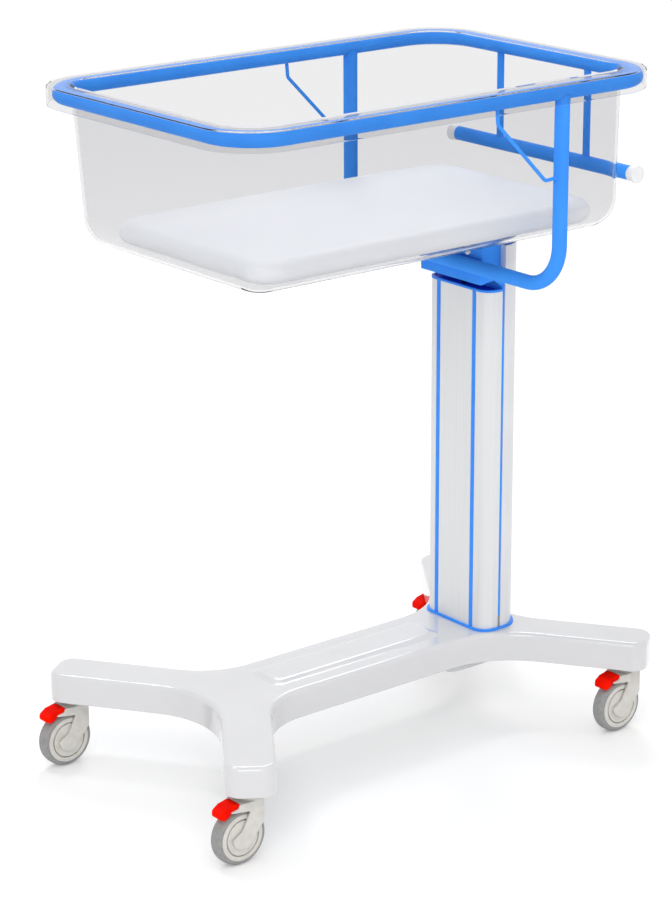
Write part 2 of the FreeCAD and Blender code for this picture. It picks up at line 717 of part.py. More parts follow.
def head_bolts():
    bolts = []
    front = HEAD_FRONT_X - BOLT_HEAD_HEIGHT
    for side, shank in zip((-1, 1), head_bolt_shanks()):
        spot = point(front, side * BOLT_Y, BOLT_Z)
        head = Part.makeCylinder(BOLT_HEAD_RADIUS, BOLT_HEAD_HEIGHT, spot, ALONG)
        socket = Part.makeCylinder(BOLT_SOCKET_RADIUS, BOLT_SOCKET_DEPTH, spot, ALONG)
        bolts.append(head.cut(socket).fuse(shank))
    return Part.makeCompound(bolts)


def head_block():
    """Cast block behind the cross tube: open below, with cross ribs and a boss for the rod."""
    body = block(HEAD_FRONT_X, PLATE_FRONT_X, -HEAD_HALF_WIDTH, HEAD_HALF_WIDTH,
                 HEAD_BOTTOM, PLATE_TOP)
    vertical = [
        edge for edge in body.Edges
        if edge.BoundBox.ZLength > HEAD_WALL and edge.BoundBox.XMin < HEAD_FRONT_X + 1
    ]
    body = body.makeFillet(HEAD_EDGE_RADIUS, vertical)
    pocket_half = HEAD_HALF_WIDTH - HEAD_WALL
    rib = HEAD_WALL / 2
    pocket_top = BOLT_Z - BOLT_HEAD_RADIUS - HEAD_WALL
    for side in (-1, 1):
        inner = side * (SPRING_RADIUS + rib)
        outer = side * pocket_half
        body = body.cut(block(
            HEAD_FRONT_X + HEAD_WALL, PLATE_FRONT_X - HEAD_WALL,
            min(inner, outer), max(inner, outer), HEAD_BOTTOM, pocket_top,
        ))
    for shank in head_bolt_shanks():
        body = body.cut(shank)
    return body.cut(cross_tube_solid())


def top_plate():
    half = HEAD_HALF_WIDTH
    corners = [
        (point(CAP_FRONT_X, -half, 0), CAP_FRONT_RADIUS),
        (point(CAP_BACK_X, -half, 0), CAP_BACK_RADIUS),
        (point(CAP_BACK_X, half, 0), CAP_BACK_RADIUS),
        (point(CAP_FRONT_X, half, 0), CAP_FRONT_RADIUS),
    ]
    plate = Part.Face(rounded_polygon(corners, PLATE_TOP)).extrude(point(0, 0, CAP_THICKNESS))
    top = PLATE_TOP + CAP_THICKNESS
    return plate.makeFillet(CAP_THICKNESS / 3, edges_at_height(plate, top))


def saddle():
    """Folded hood under the cross tube: front flange, shoulder and arched end walls."""
    half = SADDLE_HALF_WIDTH
    low = SADDLE_BACK_EDGE
    outer = block(SADDLE_FRONT_X, PLATE_FRONT_X, -half, half, low, SADDLE_FLANGE_TOP)
    inner = block(SADDLE_FRONT_X + SADDLE_SHEET, PLATE_FRONT_X + 1, SADDLE_SHEET - half,
                  half - SADDLE_SHEET, low - 1, SADDLE_TOP - SADDLE_SHEET)
    front_posts = [
        edge for edge in outer.Edges
        if edge.BoundBox.ZLength > SADDLE_SHEET and edge.BoundBox.XMin < SADDLE_FRONT_X + 1
    ]
    hood = outer.makeFillet(SADDLE_RADIUS, front_posts).cut(inner)
    hood = hood.cut(block(SADDLE_FRONT_X + SADDLE_SHEET, PLATE_FRONT_X + 1, -half, half,
                          SADDLE_TOP, SADDLE_FLANGE_TOP + 1))
    arch = [
        (SADDLE_FRONT_X - 1, low - 1),
        (SADDLE_FRONT_X - 1, SADDLE_FRONT_EDGE),
        (SADDLE_FRONT_X + SADDLE_SHEET, SADDLE_FRONT_EDGE),
        (SADDLE_PEAK_X, SADDLE_PEAK_Z),
        (PLATE_FRONT_X + 1, low),
        (PLATE_FRONT_X + 1, low - 1),
    ]
    hood = hood.cut(side_profile(arch, half + 1))
    hood = hood.cut(block(HEAD_FRONT_X, PLATE_FRONT_X + 1, -HEAD_HALF_WIDTH, HEAD_HALF_WIDTH,
                          low - 1, SADDLE_FLANGE_TOP + 1))
    return hood.cut(cross_tube_solid())


def gas_spring_rod():
    rod = upright(ROD_RADIUS, SPRING_X, 0, ROD_BOTTOM, HEAD_BOTTOM)
    piston_radius = SPRING_BORE - ROD_CLEARANCE
    return rod.fuse(upright(piston_radius, SPRING_X, 0, ROD_BOTTOM, ROD_BOTTOM + PISTON_HEIGHT))


# ---- tube frame ----

def cross_tube_solid():
    return crosswise(TUBE_RADIUS, FRAME_X, FRAME_BOTTOM_Z, FRAME_BEND - FRAME_HALF_Y,
                     FRAME_HALF_Y - FRAME_BEND)


def ring_solid(radius):
    """Closed rounded-rectangle tube, built from four straights and four bends."""
    straight_x = RING_HALF_X - RING_CORNER
    straight_y = RING_HALF_Y - RING_CORNER
    parts = []
    for side in (-1, 1):
        near = point(-straight_x, side * RING_HALF_Y, RING_Z)
        parts.append(Part.makeCylinder(radius, 2 * straight_x, near, ALONG))
        end = point(side * RING_HALF_X, -straight_y, RING_Z)
        parts.append(Part.makeCylinder(radius, 2 * straight_y, end, ACROSS))
    for index, (side_x, side_y) in enumerate([(1, 1), (-1, 1), (-1, -1), (1, -1)]):
        centre = point(side_x * straight_x, side_y * straight_y, RING_Z)
        bend = Part.makeTorus(RING_CORNER, radius, centre, UP, -180, 180, 90)
        bend.rotate(centre, UP, 90 * index)
        parts.append(bend)
    return joined(parts)


def rim_ring():
    return ring_solid(TUBE_RADIUS).cut(ring_solid(TUBE_RADIUS - TUBE_WALL))


def frame_solid(radius):
    points = [
        point(FRAME_X, -FRAME_HALF_Y, RING_Z),
        point(FRAME_X, -FRAME_HALF_Y, FRAME_BOTTOM_Z),
        point(FRAME_X, FRAME_HALF_Y, FRAME_BOTTOM_Z),
        point(FRAME_X, FRAME_HALF_Y, RING_Z),
    ]
    return rod_along(filleted_path(points, FRAME_BEND), radius, points[0], UP)


def u_frame():
    """Bent tube hanging from the ring, coped at both ends to fit round it."""
    bent = frame_solid(TUBE_RADIUS).cut(frame_solid(TUBE_RADIUS - TUBE_WALL))
    return bent.cut(ring_solid(TUBE_RADIUS))


def wire_braces():
    """One cranked rod each side, from the ring down to the upright."""
    end_x = FRAME_X - TUBE_RADIUS
    lean = (BRACE_FOOT_Z - BRACE_END_Z) / (end_x - BRACE_FOOT_X)
    braces = []
    for side in (-1, 1):
        y = side * RING_HALF_Y
        points = [
            point(BRACE_START_X, y, RING_Z),
            point(BRACE_START_X, y, BRACE_KNEE_Z),
            point(BRACE_FOOT_X, y, BRACE_FOOT_Z),
            point(FRAME_X, y, BRACE_FOOT_Z - lean * (FRAME_X - BRACE_FOOT_X)),
        ]
        rod = rod_along(filleted_path(points, BRACE_BEND), BRACE_RADIUS, points[0], UP)
        ball = Part.makeSphere(BRACE_BALL_RADIUS, point(end_x, y, BRACE_END_Z))
        brace = rod.fuse(ball).removeSplitter()
        braces.append(brace.cut(ring_solid(TUBE_RADIUS)).cut(frame_solid(TUBE_RADIUS)))
    return Part.makeCompound(braces)


def handle_solid(radius):
    return crosswise(radius, RING_HALF_X, HANDLE_Z, -HANDLE_HALF_LENGTH, HANDLE_HALF_LENGTH)


def hanger_rods():
    rods = []
    for side in (-1, 1):
        rod = upright(HANGER_RADIUS, RING_HALF_X, side * HANGER_Y, HANDLE_Z, RING_Z)
        rods.append(rod.cut(ring_solid(TUBE_RADIUS)).cut(handle_solid(TUBE_RADIUS)))
    return Part.makeCompound(rods)


def handle_bar():
    return handle_solid(TUBE_RADIUS).cut(handle_solid(TUBE_RADIUS - TUBE_WALL))


def handle_caps():
    """Flared end plugs, pushed into the bar."""
    bore = TUBE_RADIUS - TUBE_WALL
    face = HANDLE_HALF_LENGTH + END_CAP_LENGTH
    profile = [
        (0, HANDLE_HALF_LENGTH - END_CAP_PLUG),
        (bore, HANDLE_HALF_LENGTH - END_CAP_PLUG),
        (bore, HANDLE_HALF_LENGTH),
        (TUBE_RADIUS, HANDLE_HALF_LENGTH),
        (END_CAP_RADIUS, face - END_CAP_EDGE),
        (END_CAP_RADIUS - END_CAP_EDGE / 2, face - END_CAP_EDGE / 3),
        (END_CAP_RADIUS - 2 * END_CAP_EDGE, face),
        (0, face),
    ]
    points = [point(RING_HALF_X + r, y, HANDLE_Z) for r, y in profile]
    section = Part.Face(Part.makePolygon(points + [points[0]]))
    far = section.revolve(point(RING_HALF_X, 0, HANDLE_Z), ACROSS, 360)
    near = far.mirror(point(0, 0, 0), ACROSS)
    return Part.makeCompound([near, far])


# ---- tray and mattress ----

def tray_ends(z):
    """Outer end walls of the tub at one height: foot X, head X and half the width."""
    share = (LIP_TOP - z) / TRAY_DEPTH
    foot_x = TRAY_FOOT_GAP - RING_INSIDE_X + TRAY_FOOT_LEAN * share
    head_x = RING_INSIDE_X - TRAY_HEAD_GAP - TRAY_HEAD_LEAN * share
    half_y = RING_INSIDE_Y - TRAY_SIDE_GAP - TRAY_SIDE_LEAN * share
    return foot_x, head_x, half_y


def tray_outline(inset, z):
    share = (LIP_TOP - z) / TRAY_DEPTH
    foot_x, head_x, half_y = tray_ends(z)
    corner = TRAY_RIM_CORNER + (TRAY_FLOOR_CORNER - TRAY_RIM_CORNER) * share
    half_x = (head_x - foot_x) / 2
    return rounded_outline(half_x - inset, half_y - inset, corner - inset, z,
                           (head_x + foot_x) / 2)


def tray_wall(inset, z0, z1):
    """Tapered tub body: outside at no inset, inside at one sheet inset."""
    tub = Part.makeLoft([tray_outline(inset, z0), tray_outline(inset, z1)], True, True)
    return tub.makeFillet(TRAY_BOTTOM_RADIUS - inset, edges_at_height(tub, z0))


def clear_tray():
    """Tub with a wide lip that drops over the ring like an upturned channel."""
    half_x = RING_HALF_X + TUBE_RADIUS + LIP_REACH
    half_y = RING_HALF_Y + TUBE_RADIUS + LIP_REACH
    corner = RING_CORNER + TUBE_RADIUS + LIP_REACH
    lip = rounded_prism(half_x, half_y, corner, SKIRT_BOTTOM, LIP_TOP, LIP_SHIFT)
    lip = lip.makeFillet(LIP_EDGE_RADIUS, edges_at_height(lip, LIP_TOP))
    channel = rounded_prism(half_x - SKIRT_THICKNESS, half_y - SKIRT_THICKNESS,
                            corner - SKIRT_THICKNESS, SKIRT_BOTTOM - 1, LIP_UNDERSIDE, LIP_SHIFT)
    channel = channel.makeFillet(LIP_INNER_RADIUS, edges_at_height(channel, LIP_UNDERSIDE))
    lip = lip.cut(channel)
    whole = lip.fuse(tray_wall(0, TRAY_BOTTOM, LIP_TOP))
    inside = tray_wall(TRAY_SHEET, TRAY_BOTTOM + TRAY_SHEET, LIP_TOP + TRAY_SHEET)
    tray = whole.cut(inside)
    inner_edges = []
    for edge in edges_at_height(tray, LIP_TOP):
        box = edge.BoundBox
        near_wall = max(abs(box.XMax), abs(box.XMin)) < RING_INSIDE_X
        if near_wall:
            inner_edges.append(edge)
    return tray.makeFillet(LIP_INNER_RADIUS, inner_edges)


def mattress():
    foot_x, head_x, half_y = tray_ends(TRAY_BOTTOM)
    start = foot_x + TRAY_SHEET + MATTRESS_FOOT_MARGIN
    end = head_x - TRAY_SHEET - MATTRESS_HEAD_MARGIN
    half = half_y - TRAY_SHEET - MATTRESS_SIDE_MARGIN
    bottom = TRAY_BOTTOM + TRAY_SHEET + MATTRESS_GAP
    top = bottom + MATTRESS_THICKNESS
    pad = rounded_prism((end - start) / 2, half, MATTRESS_CORNER, bottom, top, (end + start) / 2)
    pad = pad.makeFillet(MATTRESS_BOTTOM_RADIUS, edges_at_height(pad, bottom))
    return pad.makeFillet(MATTRESS_TOP_RADIUS, edges_at_height(pad, top))


# ---- one caster ----

def fork_leg_face():
    """Side view of the leg: straight front, round eye at the axle, cheek out to the pedal."""
    eye_x = -CASTER_TRAIL - LEG_EYE_OFFSET
    eye_z = WHEEL_RADIUS + LEG_EYE_RISE
    low = eye_z - LEG_EYE_RADIUS
    back = eye_x - LEG_EYE_RADIUS
    cheek_x = CROWN_FRONT_X - CHEEK_BACK_REACH
    corners = [
        (point(LEG_FRONT_X, 0, CROWN_TOP), 0),
        (point(LEG_FRONT_X, 0, WHEEL_RADIUS + LEG_KNEE_RISE), LEG_KNEE_RADIUS),
        (point(eye_x + LEG_SOLE_REACH, 0, low), LEG_EYE_RADIUS),
        (point(back, 0, low), LEG_EYE_RADIUS - LEG_BLEND),
        (point(back, 0, eye_z + LEG_HEEL_RISE), LEG_HEEL_RADIUS),
        (point(eye_x, 0, eye_z + LEG_SHIN_RISE), LEG_SHIN_RADIUS),
        (point(LEG_WAIST_X, 0, CROWN_TOP - LEG_WAIST_DROP), LEG_WAIST_RADIUS),
        (point(LEG_THROAT_X, 0, CROWN_TOP - LEG_THROAT_DROP), CHEEK_EDGE),
        (point(CHEEK_TIP_X, 0, CROWN_TOP - CHEEK_TIP_DROP), LEG_HEEL_RADIUS),
        (point(cheek_x, 0, CROWN_TOP - CHEEK_BACK_DROP), CHEEK_EDGE),
        (point(CROWN_FRONT_X - CHEEK_TOP_REACH, 0, CROWN_TOP - CHEEK_TOP_DROP), CHEEK_EDGE),
        (point(CROWN_FRONT_X, 0, CROWN_TOP), 0),
    ]
    return Part.Face(rounded_polygon(corners, 0))


def caster_fork():
    legs = fork_leg_face().extrude(point(0, 2 * LEG_HALF_WIDTH, 0))
    legs.translate(point(0, -LEG_HALF_WIDTH, 0))
    wheel_room = block(-WHEEL_RADIUS * 2, WHEEL_RADIUS, -LEG_SLOT_HALF_WIDTH, LEG_SLOT_HALF_WIDTH,
                       0, CROWN_UNDERSIDE)
    pedal_room = block(-WHEEL_RADIUS * 2, CROWN_FRONT_X, -LEG_SLOT_HALF_WIDTH,
                       LEG_SLOT_HALF_WIDTH, 0, CROWN_TOP + 1)
    legs = legs.cut(wheel_room).cut(pedal_room)
    barrel = upright(BARREL_RADIUS, 0, 0, CROWN_UNDERSIDE, FORK_TOP)
    body = legs.fuse(barrel).removeSplitter()
    body = body.cut(upright(STEM_RADIUS + SWIVEL_CLEARANCE, 0, 0, CROWN_TOP - 1, FORK_TOP + 1))
    seat = LEG_SLOT_HALF_WIDTH + AXLE_SEAT
    body = body.cut(crosswise(AXLE_RADIUS, -CASTER_TRAIL, WHEEL_RADIUS, -seat, seat))
    pin_seat = LEG_SLOT_HALF_WIDTH + PEDAL_PIN_SEAT
    return body.cut(crosswise(PEDAL_PIN_RADIUS, PEDAL_PIVOT_X, PEDAL_PIVOT_Z, -pin_seat, pin_seat))


def caster_axle():
    seat = LEG_SLOT_HALF_WIDTH + AXLE_SEAT
    pin_seat = LEG_SLOT_HALF_WIDTH + PEDAL_PIN_SEAT
    axle = crosswise(AXLE_RADIUS, -CASTER_TRAIL, WHEEL_RADIUS, -seat, seat)
    pin = crosswise(PEDAL_PIN_RADIUS, PEDAL_PIVOT_X, PEDAL_PIVOT_Z, -pin_seat, pin_seat)
    return Part.makeCompound([axle, pin])


def turned(profile):
    """Solid of revolution about the wheel axle from (radius, y) points."""
    points = [point(-CASTER_TRAIL, y, WHEEL_RADIUS + r) for r, y in profile]
    section = Part.Face(Part.makePolygon(points + [points[0]]))
    return section.revolve(point(-CASTER_TRAIL, 0, WHEEL_RADIUS), ACROSS, 360)


def mirrored_profile(half):
    return half + [(r, -y) for r, y in reversed(half)]


def wheel_hub():
    bore = AXLE_RADIUS + HUB_CLEARANCE
    groove_in = HUB_GROOVE_RADIUS - HUB_GROOVE_WIDTH / 2
    groove_out = HUB_GROOVE_RADIUS + HUB_GROOVE_WIDTH / 2
    floor = HUB_HALF_WIDTH - HUB_GROOVE_DEPTH
    half = [
        (HUB_BED_RADIUS, BED_HALF_WIDTH),
        (HUB_RADIUS, BED_HALF_WIDTH),
        (HUB_RADIUS, HUB_HALF_WIDTH - HUB_EDGE),
        (HUB_RADIUS - HUB_EDGE, HUB_HALF_WIDTH),
        (groove_out, HUB_HALF_WIDTH),
        (groove_out, floor),
        (groove_in, floor),
        (groove_in, HUB_HALF_WIDTH),
        (HUB_BOSS_RADIUS, HUB_HALF_WIDTH),
        (HUB_BOSS_RADIUS, LEG_SLOT_HALF_WIDTH - HUB_CLEARANCE),
        (bore, LEG_SLOT_HALF_WIDTH - HUB_CLEARANCE),
    ]
    return turned(mirrored_profile(half))


def wheel_tyre():
    half = [
        (WHEEL_RADIUS, TREAD_HALF_WIDTH),
        (WHEEL_RADIUS - SHOULDER_DROP / 4, (TREAD_HALF_WIDTH + SHOULDER_HALF_WIDTH) / 2),
        (WHEEL_RADIUS - SHOULDER_DROP, SHOULDER_HALF_WIDTH),
        (HUB_RADIUS + HUB_EDGE, HUB_HALF_WIDTH - HUB_EDGE),
        (HUB_RADIUS, HUB_HALF_WIDTH - HUB_EDGE),
        (HUB_RADIUS, BED_HALF_WIDTH),
        (HUB_BED_RADIUS, BED_HALF_WIDTH),
    ]
    return turned(mirrored_profile(half))


def brake_pedal():
    """Chunky foot lever with a rounded nose, hinged between the fork cheeks."""
    nose = PEDAL_TIP_X
    top = CROWN_TOP
    outline = [
        (PEDAL_ROOT_X, top - PEDAL_ROOT_HIGH_DROP),
        (PEDAL_CREST_X, top + PEDAL_CREST_RISE),
        (PEDAL_PIVOT_X, top + PEDAL_HINGE_RISE),
        (nose + PEDAL_SLOPE_LENGTH, top - PEDAL_SLOPE_DROP),
        (nose + PEDAL_BROW_LENGTH, top - PEDAL_BROW_DROP),
        (nose, top - PEDAL_TIP_DROP),
        (nose + PEDAL_CHIN_LENGTH, top - PEDAL_CHIN_DROP),
        (nose + PEDAL_SOLE_LENGTH, top - PEDAL_SOLE_DROP),
        (PEDAL_HEEL_X, top - PEDAL_HEEL_DROP),
        (PEDAL_ARCH_X, top - PEDAL_ARCH_DROP),
        (PEDAL_BACK_X, top - PEDAL_BACK_DROP),
        (PEDAL_ROOT_X, top - PEDAL_ROOT_LOW_DROP),
    ]
    lever = side_profile(outline, PEDAL_HALF_WIDTH)
    tip = PEDAL_HALF_WIDTH / 2
    shoulder = nose + PEDAL_NOSE_LENGTH
    plan = [
        (point(0, -PEDAL_HALF_WIDTH, 0), 0),
        (point(0, PEDAL_HALF_WIDTH, 0), 0),
        (point(shoulder, PEDAL_HALF_WIDTH, 0), PEDAL_NOSE_RADIUS),
        (point(nose, tip, 0), PEDAL_NOSE_RADIUS),
        (point(nose, -tip, 0), PEDAL_NOSE_RADIUS),
        (point(shoulder, -PEDAL_HALF_WIDTH, 0), PEDAL_NOSE_RADIUS),
    ]
    lever = lever.common(Part.Face(rounded_polygon(plan, 0)).extrude(point(0, 0, FORK_TOP)))
    boss = crosswise(PEDAL_BOSS_RADIUS, PEDAL_PIVOT_X, PEDAL_PIVOT_Z, -PEDAL_HALF_WIDTH,
                     PEDAL_HALF_WIDTH)
    lever = lever.fuse(boss).removeSplitter()
    bore = PEDAL_PIN_RADIUS + SWIVEL_CLEARANCE
    return lever.cut(crosswise(bore, PEDAL_PIVOT_X, PEDAL_PIVOT_Z, -LEG_HALF_WIDTH, LEG_HALF_WIDTH))


# ---- files ----

def overall_middle_x():
    """Middle of the overall outline along X: foot wheels at one end, arm ends at the other."""
    foot_end = BASE_MID_X - SWIVEL_HALF_X - CASTER_TRAIL - WHEEL_RADIUS
    plan = Part.Face(base_plan(0, 0))
    head_end = plan.optimalBoundingBox(False, True).XMax
    return (foot_end + head_end) / 2


def save(name, shape, shift):
    placed = shape.copy()
    placed.translate(shift)
    if not placed.isValid():
        print("not valid:", name)
    placed.exportStep("parts/" + name + ".step")
    print(name, len(placed.Solids), round(placed.Volume))


def main():
    os.makedirs("parts", exist_ok=True)
    middle = overall_middle_x()
    print("middle of the outline", round(middle, 4))
    centred = point(-middle, 0, 0)
    fixed = {
        "base_shell": base_shell,
        "base_chassis": base_chassis,
        "ballast_block": ballast,
        "caster_stems": caster_stems,
        "swivel_washers": swivel_washers,
        "column_gasket": column_gasket,
        "column_front": column_front,
        "column_strips": column_strips,
        "column_rim": column_rim,
        "slot_packer": slot_fillers,
        "rear_mast": rear_mast,
        "gas_spring_cylinder": gas_spring_cylinder,
        "gas_spring_rod": gas_spring_rod,
        "lift_plate": lift_plate,
        "head_block": head_block,
        "head_bolts": head_bolts,
        "top_plate": top_plate,
        "tube_saddle": saddle,
        "u_frame": u_frame,
        "rim_ring": rim_ring,
        "wire_braces": wire_braces,
        "hanger_rods": hanger_rods,
        "handle_bar": handle_bar,
        "handle_caps": handle_caps,
        "clear_tray": clear_tray,
        "mattress": mattress,
    }
    for name, build in fixed.items():
        save(name, build(), centred)
    save("glide_pads", Part.makeCompound(glide_solids()), centred)
    caster = {
        "fork": caster_fork(),
        "axle": caster_axle(),
        "hub": wheel_hub(),
        "tyre": wheel_tyre(),
        "pedal": brake_pedal(),
    }
    for corner, side_x, side_y in CORNERS:
        centre, _ = arm_frame(side_x, side_y)
        for piece, shape in caster.items():
            save(piece + "_" + corner, shape, centre + centred)


main()
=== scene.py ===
import json
import math

import bmesh
import bpy
from mathutils import Matrix, Vector


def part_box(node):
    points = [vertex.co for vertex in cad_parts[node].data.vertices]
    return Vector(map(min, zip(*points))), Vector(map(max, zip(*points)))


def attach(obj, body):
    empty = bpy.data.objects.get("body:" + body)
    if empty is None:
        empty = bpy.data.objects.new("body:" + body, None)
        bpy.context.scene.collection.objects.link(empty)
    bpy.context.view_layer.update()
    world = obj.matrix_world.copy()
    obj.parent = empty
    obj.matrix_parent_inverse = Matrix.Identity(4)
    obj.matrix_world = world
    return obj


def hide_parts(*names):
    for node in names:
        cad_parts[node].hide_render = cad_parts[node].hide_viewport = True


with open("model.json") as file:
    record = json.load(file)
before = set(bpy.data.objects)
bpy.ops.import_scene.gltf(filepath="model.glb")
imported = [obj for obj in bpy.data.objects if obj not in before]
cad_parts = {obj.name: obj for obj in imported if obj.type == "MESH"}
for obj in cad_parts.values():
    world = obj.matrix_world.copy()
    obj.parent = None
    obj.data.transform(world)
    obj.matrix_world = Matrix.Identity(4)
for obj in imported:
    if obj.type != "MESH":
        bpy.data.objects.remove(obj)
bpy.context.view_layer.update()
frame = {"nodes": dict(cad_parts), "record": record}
nodes = frame["nodes"]
scene = bpy.context.scene
print("frame loaded:", len(nodes), "nodes")

mm = 0.001
onAxis = 0.01                # a turned profile starts a hair off its axis
upward = Vector((0, 0, 1))
crossways = Vector((0, 1, 0))
sides = {"near": -1, "far": 1}
quadrants = [(1, 1), (-1, 1), (-1, -1), (1, -1)]

drawnMidX = 5.0              # sizes below are measured with the base's middle at this x
baseLow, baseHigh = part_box("base_shell")
shiftX = (baseLow.x + baseHigh.x) / 2 / mm - drawnMidX


def spot(x, y, z):
    return Vector(((x + shiftX) * mm, y * mm, z * mm))


def toLinear(hexColour):
    channels = [int(hexColour[i:i + 2], 16) / 255 for i in (1, 3, 5)]
    return [c / 12.92 if c <= 0.04045 else ((c + 0.055) / 1.055) ** 2.4 for c in channels] + [1.0]


def addNode(tree, kind, inputs=None, links=None, **settings):
    node = tree.nodes.new(kind)
    for key, value in settings.items():
        setattr(node, key, value)
    for key, value in (inputs or {}).items():
        node.inputs[key].default_value = value
    for key, (source, output) in (links or {}).items():
        tree.links.new(source.outputs[output], node.inputs[key])
    return node


colourSpan = (0.35, 0.65)    # the part of a noise's range over which its two colours blend
roughSpan = (0.3, 0.7)       # the same for the two roughness values


def spreadNoise(tree, place, sizeMm, stretch, detail):
    space = addNode(tree, "ShaderNodeMapping", {"Scale": stretch}, {"Vector": (place, "Object")})
    return addNode(tree, "ShaderNodeTexNoise", {"Scale": 1 / (sizeMm * mm), "Detail": detail},
                   {"Vector": (space, "Vector")})


def varyColour(tree, shader, place, sizeMm, low, high, stretch=(1, 1, 1), detail=3.0):
    noise = spreadNoise(tree, place, sizeMm, stretch, detail)
    ramp = addNode(tree, "ShaderNodeValToRGB", None, {"Fac": (noise, "Fac")})
    for stop, position, colour in zip(ramp.color_ramp.elements, colourSpan, (low, high)):
        stop.position = position
        stop.color = toLinear(colour)
    tree.links.new(ramp.outputs["Color"], shader.inputs["Base Color"])
    shader.inputs["Base Color"].default_value = toLinear(high)


def varyRoughness(tree, shader, place, sizeMm, low, high, stretch=(1, 1, 1), detail=4.0):
    noise = spreadNoise(tree, place, sizeMm, stretch, detail)
    spread = addNode(tree, "ShaderNodeMapRange",
                     {"From Min": roughSpan[0], "From Max": roughSpan[1], "To Min": low, "To Max": high},
                     {"Value": (noise, "Fac")})
    tree.links.new(spread.outputs["Result"], shader.inputs["Roughness"])


def addBump(tree, shader, place, sizeMm, heightMm, stretch=(1, 1, 1), detail=2.0):
    # a further bump lies over the one that is there already
    links = {"Height": (spreadNoise(tree, place, sizeMm, stretch, detail), "Fac")}
    if shader.inputs["Normal"].links:
        links["Normal"] = (shader.inputs["Normal"].links[0].from_node, "Normal")
    bump = addNode(tree, "ShaderNodeBump", {"Strength": 1.0, "Distance": heightMm * mm}, links)
    tree.links.new(bump.outputs["Normal"], shader.inputs["Normal"])


def makeFinish(name, look):
    material = bpy.data.materials.new(name)
    material.use_nodes = True
    tree = material.node_tree
    shader = tree.nodes["Principled BSDF"]
    for key, value in look["shader"].items():
        shader.inputs[key].default_value = value
    place = addNode(tree, "ShaderNodeTexCoord")
    if "colour" in look:
        varyColour(tree, shader, place, **look["colour"])
    if "roughness" in look:
        varyRoughness(tree, shader, place, **look["roughness"])
    for bump in look["bumps"]:
        addBump(tree, shader, place, **bump)
    return material


